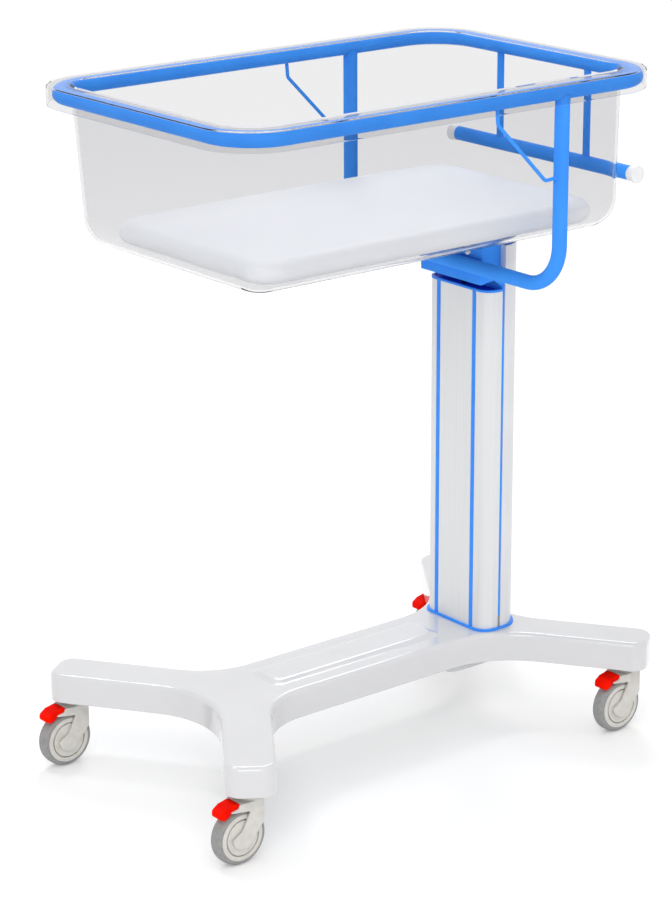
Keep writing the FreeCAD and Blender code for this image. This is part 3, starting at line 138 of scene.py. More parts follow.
alongZ = 0.01                # a pattern stretched a hundred times up the column
finishes = {
    # baked polyester powder: even, glossy, with the faint orange peel such coats dry with
    "powderCoatedSteelBlue": {
        "shader": {"IOR": 1.45, "Specular IOR Level": 0.02},
        "colour": {"sizeMm": 60, "low": "#4296FA", "high": "#469CFF"},
        "roughness": {"sizeMm": 9, "low": 0.3, "high": 0.4},
        "bumps": [{"sizeMm": 3.2, "heightMm": 0.004}],
    },
    # injection moulded ABS: polished tool, so clear soft reflections and a slight long wave
    "mouldedAbsWhite": {
        "shader": {"IOR": 1.52, "Coat Weight": 0.8, "Coat Roughness": 0.04},
        "colour": {"sizeMm": 180, "low": "#D7D7D9", "high": "#DBDBDD"},
        "roughness": {"sizeMm": 40, "low": 0.14, "high": 0.22},
        "bumps": [{"sizeMm": 45, "heightMm": 0.10, "detail": 1.0}],
    },
    # extruded and satin anodised: die lines run up the column and stretch the highlights,
    # drawn some ten times coarser than real ones so that they show
    "anodisedAluminiumExtruded": {
        "shader": {"Metallic": 0.3},
        "colour": {"sizeMm": 3.0, "low": "#DFE0E1", "high": "#E3E4E5", "stretch": (1, 1, alongZ)},
        "roughness": {"sizeMm": 2.4, "low": 0.42, "high": 0.48, "stretch": (1, 1, 1.2 * alongZ)},
        "bumps": [{"sizeMm": 2.0, "heightMm": 0.003, "stretch": (1, 1, 0.8 * alongZ)}],
    },
    # the same powder process as the blue tube, in white, on a drawn steel mast
    "powderCoatedSteelWhite": {
        "shader": {"IOR": 1.5, "Coat Weight": 0.2, "Coat Roughness": 0.15},
        "colour": {"sizeMm": 90, "low": "#DDDEE1", "high": "#E2E3E6"},
        "roughness": {"sizeMm": 10, "low": 0.3, "high": 0.4},
        "bumps": [{"sizeMm": 2.6, "heightMm": 0.012}],
    },
    # soft PVC trim from a spark-textured tool: satin, never mirror-like
    "mouldedPvcBlue": {
        "shader": {"IOR": 1.53, "Specular IOR Level": 0.25},
        "colour": {"sizeMm": 25, "low": "#2D8CF8", "high": "#3494FF"},
        "roughness": {"sizeMm": 5, "low": 0.38, "high": 0.5},
        "bumps": [{"sizeMm": 1.8, "heightMm": 0.02}],
    },
    # vacuum formed cast acrylic: bright edges, faint grey body, nearly no surface texture
    "clearAcrylicFormed": {
        "shader": {"IOR": 1.08, "Transmission Weight": 1.0, "Roughness": 0.0,
                   "Base Color": toLinear("#EAEAEB")},
        "bumps": [{"sizeMm": 160, "heightMm": 0.02, "detail": 0.0}],
    },
    # knitted polyester with a polyurethane skin: soft sheen over a grain, which is drawn
    # coarser than the real knit so that it shows, and slow waves where the foam gives
    "coatedPolyurethaneFabric": {
        "shader": {"IOR": 1.5, "Sheen Weight": 0.4, "Sheen Roughness": 0.5},
        "colour": {"sizeMm": 120, "low": "#F3F5F8", "high": "#F6F8FB"},
        "roughness": {"sizeMm": 14, "low": 0.5, "high": 0.62},
        "bumps": [{"sizeMm": 2.2, "heightMm": 0.03, "detail": 3.0}, {"sizeMm": 55, "heightMm": 0.35}],
    },
    # glass-filled nylon: warm grey ivory, satin with a faint flow mottle
    "mouldedNylonIvory": {
        "shader": {"IOR": 1.53},
        "colour": {"sizeMm": 12, "low": "#CFCCC5", "high": "#D8D6D0"},
        "roughness": {"sizeMm": 5, "low": 0.36, "high": 0.48},
        "bumps": [{"sizeMm": 1.6, "heightMm": 0.02}],
    },
    # thermoplastic rubber tread: matt mid grey with dull scuffing where it rolls
    "mouldedRubberGrey": {
        "shader": {"IOR": 1.5},
        "colour": {"sizeMm": 6, "low": "#8E8E8E", "high": "#999998"},
        "roughness": {"sizeMm": 4, "low": 0.55, "high": 0.7},
        "bumps": [{"sizeMm": 1.5, "heightMm": 0.04, "detail": 4.0}],
    },
    # natural nylon caps over the bolt heads: near white and waxy
    "mouldedNylonWhite": {
        "shader": {"IOR": 1.53},
        "colour": {"sizeMm": 4, "low": "#F7F5F0", "high": "#FCFBF8"},
        "roughness": {"sizeMm": 3, "low": 0.3, "high": 0.4},
        "bumps": [{"sizeMm": 1.5, "heightMm": 0.01}],
    },
    # seal inside the column mouth, deep blue and matt: its dark navy is painted shade, so the mouth reads as
    # a dark gap
    "navySealPaintedShade": {
        "shader": {"IOR": 1.5, "Specular IOR Level": 0.2},
        "colour": {"sizeMm": 8, "low": "#0B37C0", "high": "#1142D2"},
        "roughness": {"sizeMm": 4, "low": 0.6, "high": 0.7},
        "bumps": [{"sizeMm": 1.8, "heightMm": 0.02}],
    },
    # signal red nylon for the brake levers: saturated and satin, with a grip wave added below
    "mouldedNylonRed": {
        "shader": {"IOR": 1.5, "Specular IOR Level": 0.03},
        "roughness": {"sizeMm": 5, "low": 0.45, "high": 0.55},
        "bumps": [{"sizeMm": 1.6, "heightMm": 0.02}],
    },
    # bright zinc: bluish metal with small crystal-like patches
    "zincPlatedSteel": {
        "shader": {"Metallic": 1.0},
        "colour": {"sizeMm": 4, "low": "#A9ADB2", "high": "#BFC3C8"},
        "roughness": {"sizeMm": 3, "low": 0.28, "high": 0.42},
        "bumps": [{"sizeMm": 2.0, "heightMm": 0.008}],
    },
    # ground and black nitrided: dark, with a tight highlight and fine rings round the rod
    "nitridedSteelRod": {
        "shader": {"Metallic": 0.6},
        "colour": {"sizeMm": 8, "low": "#1B1C1F", "high": "#232428"},
        "roughness": {"sizeMm": 1.5, "low": 0.2, "high": 0.3, "stretch": (0.05, 0.05, 1)},
        "bumps": [{"sizeMm": 1.5, "heightMm": 0.003, "stretch": (0.05, 0.05, 1)}],
    },
    # acetal: black, waxy and slightly polished by sliding
    "mouldedAcetalBlack": {
        "shader": {"IOR": 1.48},
        "colour": {"sizeMm": 10, "low": "#141416", "high": "#1C1C1F"},
        "roughness": {"sizeMm": 6, "low": 0.3, "high": 0.45},
        "bumps": [{"sizeMm": 1.6, "heightMm": 0.02}],
    },
    # sand cast iron under light grey paint: pebbled skin
    "paintedCastIron": {
        "shader": {"IOR": 1.5},
        "colour": {"sizeMm": 7, "low": "#D6D7D9", "high": "#DEDFE1"},
        "roughness": {"sizeMm": 5, "low": 0.45, "high": 0.6},
        "bumps": [{"sizeMm": 2.5, "heightMm": 0.15, "detail": 4.0}],
    },
    # soft white plug: waxy, a touch translucent looking
    "mouldedPolyethyleneWhite": {
        "shader": {"IOR": 1.51},
        "colour": {"sizeMm": 15, "low": "#EBEBEC", "high": "#F2F2F3"},
        "roughness": {"sizeMm": 6, "low": 0.34, "high": 0.44},
        "bumps": [{"sizeMm": 1.8, "heightMm": 0.015}],
    },
}
materials = {name: makeFinish(name, look) for name, look in finishes.items()}


def clearTheShade(material):
    # a thin clear sheet throws next to no shade, so light goes straight through it
    tree = material.node_tree
    ray = addNode(tree, "ShaderNodeLightPath")
    straight = addNode(tree, "ShaderNodeBsdfTransparent", {"Color": toLinear("#FFFFFF")})
    mix = addNode(tree, "ShaderNodeMixShader", None, {
        0: (ray, "Is Shadow Ray"), 1: (tree.nodes["Principled BSDF"], "BSDF"), 2: (straight, "BSDF")})
    tree.links.new(mix.outputs["Shader"], tree.nodes["Material Output"].inputs["Surface"])


clearTheShade(materials["clearAcrylicFormed"])


# the valley colour is painted shade, a deeper red in the hollows of the grip wave
grip = {"pitchMm": 22.62, "heightMm": 0.35, "valleyShade": "#F00C00", "crest": "#FF1600"}
waveTurn = 20                # radians that Blender's wave texture turns per unit at scale 1


def addGripWave(material, g):
    # a slow moulded wave runs along the lever's tread; its valleys are painted a little deeper red as painted
    # shade
    tree = material.node_tree
    shader = tree.nodes["Principled BSDF"]
    fine = shader.inputs["Normal"].links[0].from_node
    place = addNode(tree, "ShaderNodeTexCoord")
    wave = addNode(tree, "ShaderNodeTexWave",
                   {"Scale": 2 * math.pi / (waveTurn * g["pitchMm"] * mm), "Distortion": 0.0},
                   {"Vector": (place, "Object")}, bands_direction="X")
    ramp = addNode(tree, "ShaderNodeValToRGB", None, {"Fac": (wave, "Fac")})
    ramp.color_ramp.elements[0].color = toLinear(g["valleyShade"])
    ramp.color_ramp.elements[1].color = toLinear(g["crest"])
    tree.links.new(ramp.outputs["Color"], shader.inputs["Base Color"])
    shader.inputs["Base Color"].default_value = toLinear(g["crest"])
    raised = addNode(tree, "ShaderNodeBump", {"Strength": 1.0, "Distance": g["heightMm"] * mm},
                     {"Height": (wave, "Fac"), "Normal": (fine, "Normal")})
    tree.links.new(raised.outputs["Normal"], shader.inputs["Normal"])


addGripWave(materials["mouldedNylonRed"], grip)

slotFinishes = {
    "base_white": "mouldedAbsWhite", "zinc_steel": "zincPlatedSteel", "ballast_paint": "paintedCastIron",
    "blue_moulding": "mouldedPvcBlue", "anodised_aluminium": "anodisedAluminiumExtruded",
    "black_plastic": "mouldedAcetalBlack", "mast_white": "powderCoatedSteelWhite",
    "nitrided_rod": "nitridedSteelRod", "blue_coated_steel": "powderCoatedSteelBlue",
    "ivory_bolt": "mouldedNylonWhite", "cap_white": "mouldedPolyethyleneWhite",
    "clear_plastic": "clearAcrylicFormed", "mattress_cover": "coatedPolyurethaneFabric",
    "caster_ivory": "mouldedNylonIvory", "tyre_grey": "mouldedRubberGrey", "pedal_red": "mouldedNylonRed",
}
nodeSlots = {s["node"]: s["material_slot"] for s in frame["record"]["subparts"]}
for nodeName, node in nodes.items():
    node.data.materials.clear()
    node.data.materials.append(materials[slotFinishes[nodeSlots[nodeName]]])
print("materials ready")


def placeObject(name, data):
    placed = bpy.data.objects.new(name, data)
    scene.collection.objects.link(placed)
    return placed


def meshFrom(name, verts, faces):
    mesh = bpy.data.meshes.new(name)
    mesh.from_pydata([tuple(v) for v in verts], [], faces)
    return mesh


def finishPiece(name, mesh, body, slot, stands=(), smoothAngle=40, finish=None):
    work = bmesh.new()
    work.from_mesh(mesh)
    bmesh.ops.recalc_face_normals(work, faces=work.faces)
    work.to_mesh(mesh)
    work.free()
    mesh.shade_smooth()
    mesh.set_sharp_from_angle(angle=math.radians(smoothAngle))
    mesh.materials.clear()
    mesh.materials.append(materials[finish or slotFinishes[slot]])
    piece = placeObject(name, mesh)
    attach(piece, body)
    if stands:
        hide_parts(*stands)
    return piece


def addPiece(name, shape, body, slot, stands=(), smoothAngle=40, finish=None):
    return finishPiece(name, meshFrom(name, *shape), body, slot, stands, smoothAngle, finish)


def applyModifiers(piece):
    ready = bpy.context.evaluated_depsgraph_get()
    mesh = bpy.data.meshes.new_from_object(piece.evaluated_get(ready))
    piece.modifiers.clear()
    old = piece.data
    piece.data = mesh
    bpy.data.meshes.remove(old)


def skin(loops, closed=False, caps=(True, True)):
    count = len(loops[0])
    verts = [v for loop in loops for v in loop]
    faces = []
    bands = len(loops) if closed else len(loops) - 1
    for band in range(bands):
        low = band * count
        high = ((band + 1) % len(loops)) * count
        for i in range(count):
            j = (i + 1) % count
            faces.append((low + i, low + j, high + j, high + i))
    if not closed and caps[0]:
        faces.append(tuple(reversed(range(count))))
    if not closed and caps[1]:
        last = (len(loops) - 1) * count
        faces.append(tuple(range(last, last + count)))
    return verts, faces


def fullTurn(steps):
    return [2 * math.pi * k / steps for k in range(steps)]


def quarterTurn(steps):
    return [math.radians(90 * k / steps) for k in range(steps + 1)]


def arcPoints(centre, radius, start, end, steps):
    turn = [math.radians(start + (end - start) * i / steps) for i in range(steps + 1)]
    return [(centre[0] + radius * math.cos(t), centre[1] + radius * math.sin(t)) for t in turn]


def roundedRect(halfX, halfY, radius, z, centreX=0.0, steps=14):
    loop = []
    for index, (sx, sy) in enumerate(quadrants):
        centre = (centreX + sx * (halfX - radius), sy * (halfY - radius))
        for x, y in arcPoints(centre, radius, 90 * index, 90 * index + 90, steps):
            loop.append(spot(x, y, z))
    return loop


def filletPoints(before, corner, after, radius, steps, even=True):
    # an even fillet spaces its points by angle, the other one along its chord
    toward = (before - corner).normalized()
    onward = (after - corner).normalized()
    half = toward.angle(onward) / 2
    middle = corner + (toward + onward).normalized() * (radius / math.sin(half))
    first = corner + toward * (radius / math.tan(half)) - middle
    last = corner + onward * (radius / math.tan(half)) - middle
    points = []
    for i in range(steps + 1):
        share = i / steps
        blend = first.slerp(last, share) if even else first * (1 - share) + last * share
        points.append(middle + blend.normalized() * radius)
    return points


def roundedPath(points, radius, steps=14):
    path = [points[0]]
    for before, corner, after in zip(points, points[1:], points[2:]):
        path += filletPoints(before, corner, after, radius, steps)
    return path + [points[-1]]


def roundedOutline(sharp, steps=8):
    # each corner is (x, z, radius); the curve turns in the flat plane y = 0
    points = [Vector((x, 0, z)) for x, z, radius in sharp]
    outline = []
    for i, (x, z, radius) in enumerate(sharp):
        if radius == 0:
            outline.append((x, z))
            continue
        after = points[(i + 1) % len(points)]
        for p in filletPoints(points[i - 1], points[i], after, radius, steps):
            outline.append((p.x, p.z))
    return outline


def tubeLoops(path, radius, steps=32, closed=False):
    count = len(path)
    loops = []
    side = None
    for i, here in enumerate(path):
        before = path[i - 1] if (closed or i) else here
        after = path[(i + 1) % count] if (closed or i < count - 1) else here
        along = ((after - here).normalized() + (here - before).normalized()).normalized()
        if side is None:
            reference = upward if abs(along.z) < 0.9 else Vector((1, 0, 0))
            side = reference.cross(along).normalized()
        side = (side - along * side.dot(along)).normalized()
        other = along.cross(side)
        loops.append([here + (side * math.cos(t) + other * math.sin(t)) * radius for t in fullTurn(steps)])
    return loops


def lathe(profile, centre, axis, steps=72):
    side = Vector((1, 0, 0))
    other = axis.cross(side)
    loops = []
    for t in fullTurn(steps):
        out = side * math.cos(t) + other * math.sin(t)
        loops.append([centre + out * (r * mm) + axis * (h * mm) for r, h in profile])
    return skin(loops, closed=True)


def remeshed(mesh, voxelMm, rounds):
    # fuses overlapping solids into one skin and rounds every edge by about a voxel
    holder = placeObject("remeshed", mesh)
    voxels = holder.modifiers.new("fuse", "REMESH")
    voxels.mode = "VOXEL"
    voxels.voxel_size = voxelMm * mm
    soft = holder.modifiers.new("soft", "SMOOTH")
    soft.factor = 0.5
    soft.iterations = rounds
    ready = bpy.context.evaluated_depsgraph_get()
    result = bpy.data.meshes.new_from_object(holder.evaluated_get(ready))
    bpy.data.objects.remove(holder)
    return result


cradle = {
    "tube": 11.0, "tubeSides": 40, "halfX": 377.9, "halfY": 239.6, "corner": 70.0, "ringZ": 1035.6,
    "frameX": 191.7, "frameY": 239.6, "frameTop": 1031.6, "crossZ": 743.0, "bend": 67.0,
    "handleZ": 883.5, "handleHalf": 194.0, "ringSteps": 24, "bendSteps": 22,
}


def addTube(name, path, radius, steps, stands=(), closed=False):
    addPiece(name, skin(tubeLoops(path, radius * mm, steps, closed), closed),
             "cradle_lift", "blue_coated_steel", stands)


def makeCradle(c):
    ring = roundedRect(c["halfX"], c["halfY"], c["corner"], c["ringZ"], steps=c["ringSteps"])
    addTube("rimRing", ring, c["tube"], c["tubeSides"], ("rim_ring",), closed=True)
    frameCorners = [(-c["frameY"], c["frameTop"]), (-c["frameY"], c["crossZ"]),
                    (c["frameY"], c["crossZ"]), (c["frameY"], c["frameTop"])]
    sharp = [spot(c["frameX"], y, z) for y, z in frameCorners]
    addTube("hangingFrame", roundedPath(sharp, c["bend"] * mm, c["bendSteps"]), c["tube"], c["tubeSides"],
            ("u_frame",))
    handle = [spot(c["halfX"], y, c["handleZ"]) for y in (-c["handleHalf"], c["handleHalf"])]
    addTube("handleBar", handle, c["tube"], c["tubeSides"], ("handle_bar",))


weld = {"rod": 0.9, "frame": 1.1, "frameLift": 0.01, "sides": 10, "steps": 48}


def addWeld(name, curve, size):
    addTube(name, curve, size, weld["sides"], closed=True)


def copeCurve(x, y, radius, axisZ, axisOffset, tube, along, down):
    # line where an upright of the given radius meets a level tube above or below it
    curve = []
    for t in fullTurn(weld["steps"]):
        dx, dy = radius * math.cos(t), radius * math.sin(t)
        across = (dx if along == "y" else dy) + axisOffset
        lift = math.sqrt(max(tube * tube - across * across, 0.0))
        curve.append(spot(x + dx, y + dy, axisZ - lift if down else axisZ + lift))
    return curve


rods = {"radius": 5.5, "y": 97.0, "sides": 28}


def makeHangerRod(r, c, tag, side):
    x, y, radius = c["halfX"], side * r["y"], r["radius"]
    rod = [spot(x, y, z) for z in (c["handleZ"], c["ringZ"])]
    addTube("hangerRod_" + tag, rod, radius, r["sides"], ("hanger_rods",) if side < 0 else ())
    for end, z in (("Top", c["ringZ"]), ("Low", c["handleZ"])):
        curve = copeCurve(x, y, radius, z, 0, c["tube"], "y", end == "Top")
        addWeld("hangerWeld" + end + "_" + tag, curve, weld["rod"])


brace = {
    "wire": 2.7, "sides": 20, "bend": 10.0, "bendSteps": 10,
    "path": [(66.5, 1026.6), (68.5, 1003.0), (161.0, 910.4), (184.0, 911.9)],      # x, z
    "ball": 3.9, "ballX": 180.2, "ballZ": 911.7, "ballSides": 24, "ballTurns": range(4, 180, 16),
}


def makeBrace(b, c, tag, side):
    # a bent wire from the ring to the frame, with a round weld at its lower end
    y = side * c["halfY"]
    wire = roundedPath([spot(x, y, z) for x, z in b["path"]], b["bend"] * mm, b["bendSteps"])
    addTube("wireBrace_" + tag, wire, b["wire"], b["sides"], ("wire_braces",) if side < 0 else ())
    centre = spot(b["ballX"], y, b["ballZ"])
    loops = []
    for turn in [math.radians(a) for a in b["ballTurns"]]:
        radius, ahead = b["ball"] * mm * math.sin(turn), -b["ball"] * mm * math.cos(turn)
        loops.append([centre + Vector((ahead, radius * math.cos(t), radius * math.sin(t)))
                      for t in fullTurn(b["ballSides"])])
    addPiece("braceWeld_" + tag, skin(loops), "cradle_lift", "blue_coated_steel")


def makeFrameWeld(c, tag, side):
    offset = -side * (c["halfY"] - c["frameY"])
    curve = copeCurve(c["frameX"], side * c["frameY"], c["tube"], c["ringZ"], offset,
                      c["tube"] + weld["frameLift"], "x", True)
    addWeld("frameWeld_" + tag, curve, weld["frame"])


makeCradle(cradle)
for tag, side in sides.items():
    makeHangerRod(rods, cradle, tag, side)
    makeBrace(brace, cradle, tag, side)
    makeFrameWeld(cradle, tag, side)


handleCap = {
    "long": 15.8, "rim": 13.1, "rimEdge": 1.4, "steps": 48,
    "neck": [(8.8, -12.0), (8.8, -0.3), (11.0, -0.2), (11.5, 0.4), (11.9, 4)],      # radius, way past the bar
    "flare": (12.9, -3.0), "dome": [(7.0, 0.1), (onAxis, 0.15)],      # radius, way past the face
}


def makeHandleCaps(h, c):
    # push-in plug: a plain collar that flares to a flat, softly edged end
    start = c["handleHalf"]
    face = start + h["long"]
    edge = h["rimEdge"]
    profile = [(onAxis, start + h["neck"][0][1])] + [(r, start + past) for r, past in h["neck"]]
    profile += [(h["flare"][0], face + h["flare"][1])]
    profile += arcPoints((h["rim"] - edge, face - edge), edge, 15, 90, 6)
    profile += [(r, face + past) for r, past in h["dome"]]
    for tag, side in sides.items():
        shape = lathe(profile, spot(c["halfX"], 0, c["handleZ"]), side * crossways, h["steps"])
        addPiece("handleCap_" + tag, shape, "cradle_lift", "cap_white", ("handle_caps",) if side < 0 else ())


makeHandleCaps(handleCap, cradle)
print("cradle ready")


tray = {
    "floorZ": 810.2, "top": 1049.5, "footFloor": -346.0, "footTop": -364.5,
    "headFloor": 355.0, "headTop": 356.5, "sideFloor": 215.0, "sideTop": 222.1,
    "cornerFloor": 50.0, "cornerTop": 57.0, "sheet": 4.0, "bottomRadius": 42.0,
    "lipCentre": -2.5, "lipX": 395.5, "lipY": 257.2, "lipCorner": 87.6,
    "underside": 1046.9, "skirtBottom": 1020.6,
    "reach": 35.0, "skirt": 3.0, "rootBend": 3.0, "foldBend": 2.4, "skirtEdge": 1.5, "topBend": 4.0,
    "mouthBend": 3.0, "cornerLeast": 0.3, "floorSteps": 20,
    # plain rings between the bends: heights, reaches and their distances from the nearest corner
    "wallRings": [900, 960, 1010], "skirtRing": 1035, "underRings": [4, 12, 20, 28],
    "topRings": [30, 20, 10, 0.2], "floorRings": [30.0, 1.5], "bendClear": 2.0, "rootClear": 5.0,
    "foldClear": 3.4, "edgeClear": 2.4, "overClear": 5.0, "mouthClear": 4.2,
}


def makeTray(t):
    def between(low, high, z):
        return low + (high - low) * (z - t["floorZ"]) / (t["top"] - t["floorZ"])

    def wallSizes(z):
        foot, head = between(t["footFloor"], t["footTop"], z), between(t["headFloor"], t["headTop"], z)
        side = between(t["sideFloor"], t["sideTop"], z)
        return (head - foot) / 2, side, between(t["cornerFloor"], t["cornerTop"], z), (head + foot) / 2

    def wall(offset, z):
        halfX, halfY, corner, centre = wallSizes(z)
        return roundedRect(halfX - offset, halfY - offset, max(corner - offset, t["cornerLeast"]), z, centre)

    def lip(d, z):
        # d runs from 0 at the wall to the full reach at the skirt's outer face
        if d < 0:
            return wall(-d, z)
        share = d / reach
        lipSizes = (t["lipX"], t["lipY"], t["lipCorner"], t["lipCentre"])
        sizes = [(1 - share) * a + share * b for a, b in zip(wallSizes(t["underside"]), lipSizes)]
        return roundedRect(*sizes[:3], z, sizes[3])

    def lipBend(d, z, radius, start, end, steps=6):
        return [lip(*point) for point in arcPoints((d, z), radius, start, end, steps)]

    def floorBend(radius, floorZ, turns):
        middle = floorZ + radius
        return [wall(t["bottomRadius"] - radius * math.sin(a), middle - radius * math.cos(a)) for a in turns]

    r, s = t["bottomRadius"], t["sheet"]
    reach, skirtIn = t["reach"], t["reach"] - t["skirt"]
    floorZ, under, top, low = t["floorZ"], t["underside"], t["top"], t["skirtBottom"]
    root, fold, edge = t["rootBend"], t["foldBend"], t["skirtEdge"]
    over, mouth = t["topBend"], t["mouthBend"]
    foot = floorZ + r + t["bendClear"]
    skirtLow = low + t["edgeClear"]
    turns = quarterTurn(t["floorSteps"])
    loops = [wall(r + inset, floorZ) for inset in t["floorRings"]]
    loops += floorBend(r, floorZ, turns)
    loops += [wall(0, z) for z in (foot, *t["wallRings"], under - t["rootClear"])]
    loops += lipBend(root, under - root, root, 180, 90)
    loops += [lip(d, under) for d in t["underRings"]]
    loops += lipBend(skirtIn - fold, under - fold, fold, 90, 0)
    loops += [lip(skirtIn, z) for z in (under - t["foldClear"], t["skirtRing"], skirtLow)]
    loops += lipBend(reach - edge, low + edge, edge, 180, 360, 8)
    loops += [lip(reach, z) for z in (skirtLow, t["skirtRing"], top - t["overClear"])]
    loops += lipBend(reach - over, top - over, over, 0, 90, 8)
    loops += [lip(d, top) for d in t["topRings"]]
    loops += lipBend(mouth - s, top - mouth, mouth, 90, 180)
    loops += [wall(s, z) for z in (top - t["mouthClear"], *reversed(t["wallRings"]), foot)]
    loops += floorBend(r - s, floorZ + s, reversed(turns))
    loops += [wall(r + inset, floorZ + s) for inset in reversed(t["floorRings"])]
    addPiece("trayShell", skin(loops), "tray", "clear_plastic", ("clear_tray",), smoothAngle=60)


makeTray(tray)
print("tray ready")


mattress = {
    "centreX": 11.0, "halfX": 321.0, "halfY": 186.4, "corner": 45.0, "bottomZ": 815.0, "thick": 32.0,
    "topRadius": 13.0, "bottomRadius": 17.0, "flat": 24.0, "cornerLeast": 4.0, "cornerSteps": 10,
    "bendSteps": 8, "voxel": 5.0,
    "pressure": 3.0, "stretchStiffness": 30, "bendStiffness": 3, "clothQuality": 5, "clothFrames": 14,
    "puff": 3.0, "smoothRounds": 6,
}


def padMesh(m):
    def ring(inset, z):
        corner = max(m["corner"] - inset, m["cornerLeast"])
        return roundedRect(m["halfX"] - inset, m["halfY"] - inset, corner, z, m["centreX"], m["cornerSteps"])

    low, high = m["bottomZ"], m["bottomZ"] + m["thick"]
    rb, rt = m["bottomRadius"], m["topRadius"]
    turns = quarterTurn(m["bendSteps"])
    loops = [ring(rb + m["flat"], low)]
    loops += [ring(rb - rb * math.sin(a), low + rb - rb * math.cos(a)) for a in turns]
    loops += [ring(rt - rt * math.sin(a), high - rt + rt * math.cos(a)) for a in reversed(turns)]
    return skin(loops + [ring(rt + m["flat"], high)])


def puffUp(pad, m):
    # air pressure fills the cover, and no point moves further than the puff
    before = [v.co.copy() for v in pad.data.vertices]
    pad.parent = None
    cloth = pad.modifiers.new("cover", "CLOTH").settings
    cloth.use_pressure = True
    cloth.uniform_pressure_force = m["pressure"]
    cloth.quality = m["clothQuality"]
    cloth.tension_stiffness = m["stretchStiffness"]
    cloth.compression_stiffness = m["stretchStiffness"]
    cloth.bending_stiffness = m["bendStiffness"]
    cloth.effector_weights.gravity = 0
    for number in range(1, m["clothFrames"] + 1):
        scene.frame_set(number)
    ready = bpy.context.evaluated_depsgraph_get()
    puffed = [v.co.copy() for v in pad.evaluated_get(ready).data.vertices]
    pad.modifiers.clear()
    scene.frame_set(1)
    limit = m["puff"] * mm
    for vertex, start, end in zip(pad.data.vertices, before, puffed):
        move = end - start
        if move.length > limit:
            move *= limit / move.length
        vertex.co = start + move
    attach(pad, "mattress_pad")


def makeMattress(m):
    pad = addPiece("mattressPad", padMesh(m), "mattress_pad", "mattress_cover", ("mattress",), smoothAngle=60)
    voxels = pad.modifiers.new("even", "REMESH")
    voxels.mode = "VOXEL"
    voxels.voxel_size = m["voxel"] * mm
    applyModifiers(pad)
    puffUp(pad, m)
    for vertex in pad.data.vertices:
        vertex.co.z = max(vertex.co.z, m["bottomZ"] * mm)
    even = pad.modifiers.new("even", "SMOOTH")
    even.factor = 0.5
    even.iterations = m["smoothRounds"]
    fine = pad.modifiers.new("fine", "SUBSURF")
    fine.levels = 1
    fine.render_levels = 1
    applyModifiers(pad)
    pad.data.shade_smooth()


makeMattress(mattress)
print("mattress ready")


base = {
    "midX": drawnMidX, "swivelX": 371.0, "swivelY": 220.0, "armHalf": 37.5, "splay": 54.77, "overrun": 33.0,
    "endRadius": 24.0, "beamHalf": 67.0, "footRoot": 112.0, "headRoot": 146.0, "hollow": 140.0,
    "bottom": 107.0, "top": 153.0, "edge": 8.0, "wall": 3.5, "footEdge": 1.2,
    "ceilingClear": 2.0, "footClear": 2.6, "edgeClear": 1.2, "innerSteps": 5, "footSteps": 6, "edgeSteps": 10,
}


def basePlan(b, inset, z, steps=16):
    splay = math.radians(b["splay"])
    half = b["armHalf"] - inset
    direction = Vector((math.cos(splay), math.sin(splay)))
    outward = Vector((math.sin(splay), -math.cos(splay)))
    swivel = Vector((b["swivelX"], b["swivelY"]))
    end = swivel + direction * (b["overrun"] - inset)
    outSide, inSide = swivel + outward * half, swivel - outward * half
    slant = direction.x / direction.y
    beam = b["beamHalf"] - inset
    hollow = outSide.x - outSide.y * slant
    root = Vector((inSide.x - (inSide.y - beam) * slant, beam))
    endRadius = b["endRadius"] - inset
    plan = []
    for sx, sy in quadrants:
        rootRadius = b["headRoot" if sx > 0 else "footRoot"] + inset
        armCorners = [(end + outward * half, endRadius), (end - outward * half, endRadius),
                      (root, rootRadius)]
        arm = [(Vector((sx * p.x, sy * p.y)), radius) for p, radius in armCorners]
        if sx == sy:
            plan += [(Vector((sx * hollow, 0)), b["hollow"] + inset)] + arm
        else:
            plan += list(reversed(arm))
    loop = []
    for i, (corner, radius) in enumerate(plan):
        before, after = plan[i - 1][0], plan[(i + 1) % len(plan)][0]
        points = filletPoints(before, corner, after, radius, steps, even=False)
        loop += [spot(b["midX"] + p.x, p.y, z) for p in points]
    return loop


def makeBase(b):
    wall, edge, foot, top, bottom = b["wall"], b["edge"], b["footEdge"], b["top"], b["bottom"]
    ceiling = top - wall
    inner = edge - wall
    loops = [basePlan(b, edge + b["ceilingClear"], ceiling)]
    loops += [basePlan(b, wall + inner - inner * math.cos(a), ceiling - inner + inner * math.sin(a))
              for a in reversed(quarterTurn(b["innerSteps"]))]
    loops += [basePlan(b, wall, bottom + foot)]
    loops += [basePlan(b, wall / 2 - wall / 2 * math.cos(a), bottom + foot - foot * math.sin(a))
              for a in [math.pi * (1 - k / b["footSteps"]) for k in range(b["footSteps"] + 1)]]
    loops += [basePlan(b, 0, z) for z in (bottom + b["footClear"], top - edge - b["edgeClear"])]
    loops += [basePlan(b, edge - edge * math.cos(a), top - edge + edge * math.sin(a))
              for a in quarterTurn(b["edgeSteps"])]
    loops += [basePlan(b, edge + b["edgeClear"], top)]
    addPiece("baseMoulding", skin(loops), "base", "base_white", ("base_shell",), smoothAngle=50)


makeBase(base)


panel = {"start": -175.0, "end": 150.0, "half": 35.0, "corner": 14.0, "rise": 4.5,
         "flank": [(-3, -0.4), (-1.5, 0.05), (0, 0.5), (3, 1.6)],      # inset and height above the cover
         "shoulder": [(6.0, 1.4), (8.0, 0.5), (10.0, 0.08), (11.5, 0), (14, 0)]}      # inset and drop


def makePanel(p, top):
    midX = (p["start"] + p["end"]) / 2
    halfX = (p["end"] - p["start"]) / 2
    shape = p["flank"] + [(inset, p["rise"] - drop) for inset, drop in p["shoulder"]]
    rings = [roundedRect(halfX - inset, p["half"] - inset, p["corner"], top + up, midX)
             for inset, up in shape]
    addPiece("basePanel", skin(rings, caps=(False, True)), "base", "base_white", smoothAngle=60)


makePanel(panel, base["top"])
print("base ready")


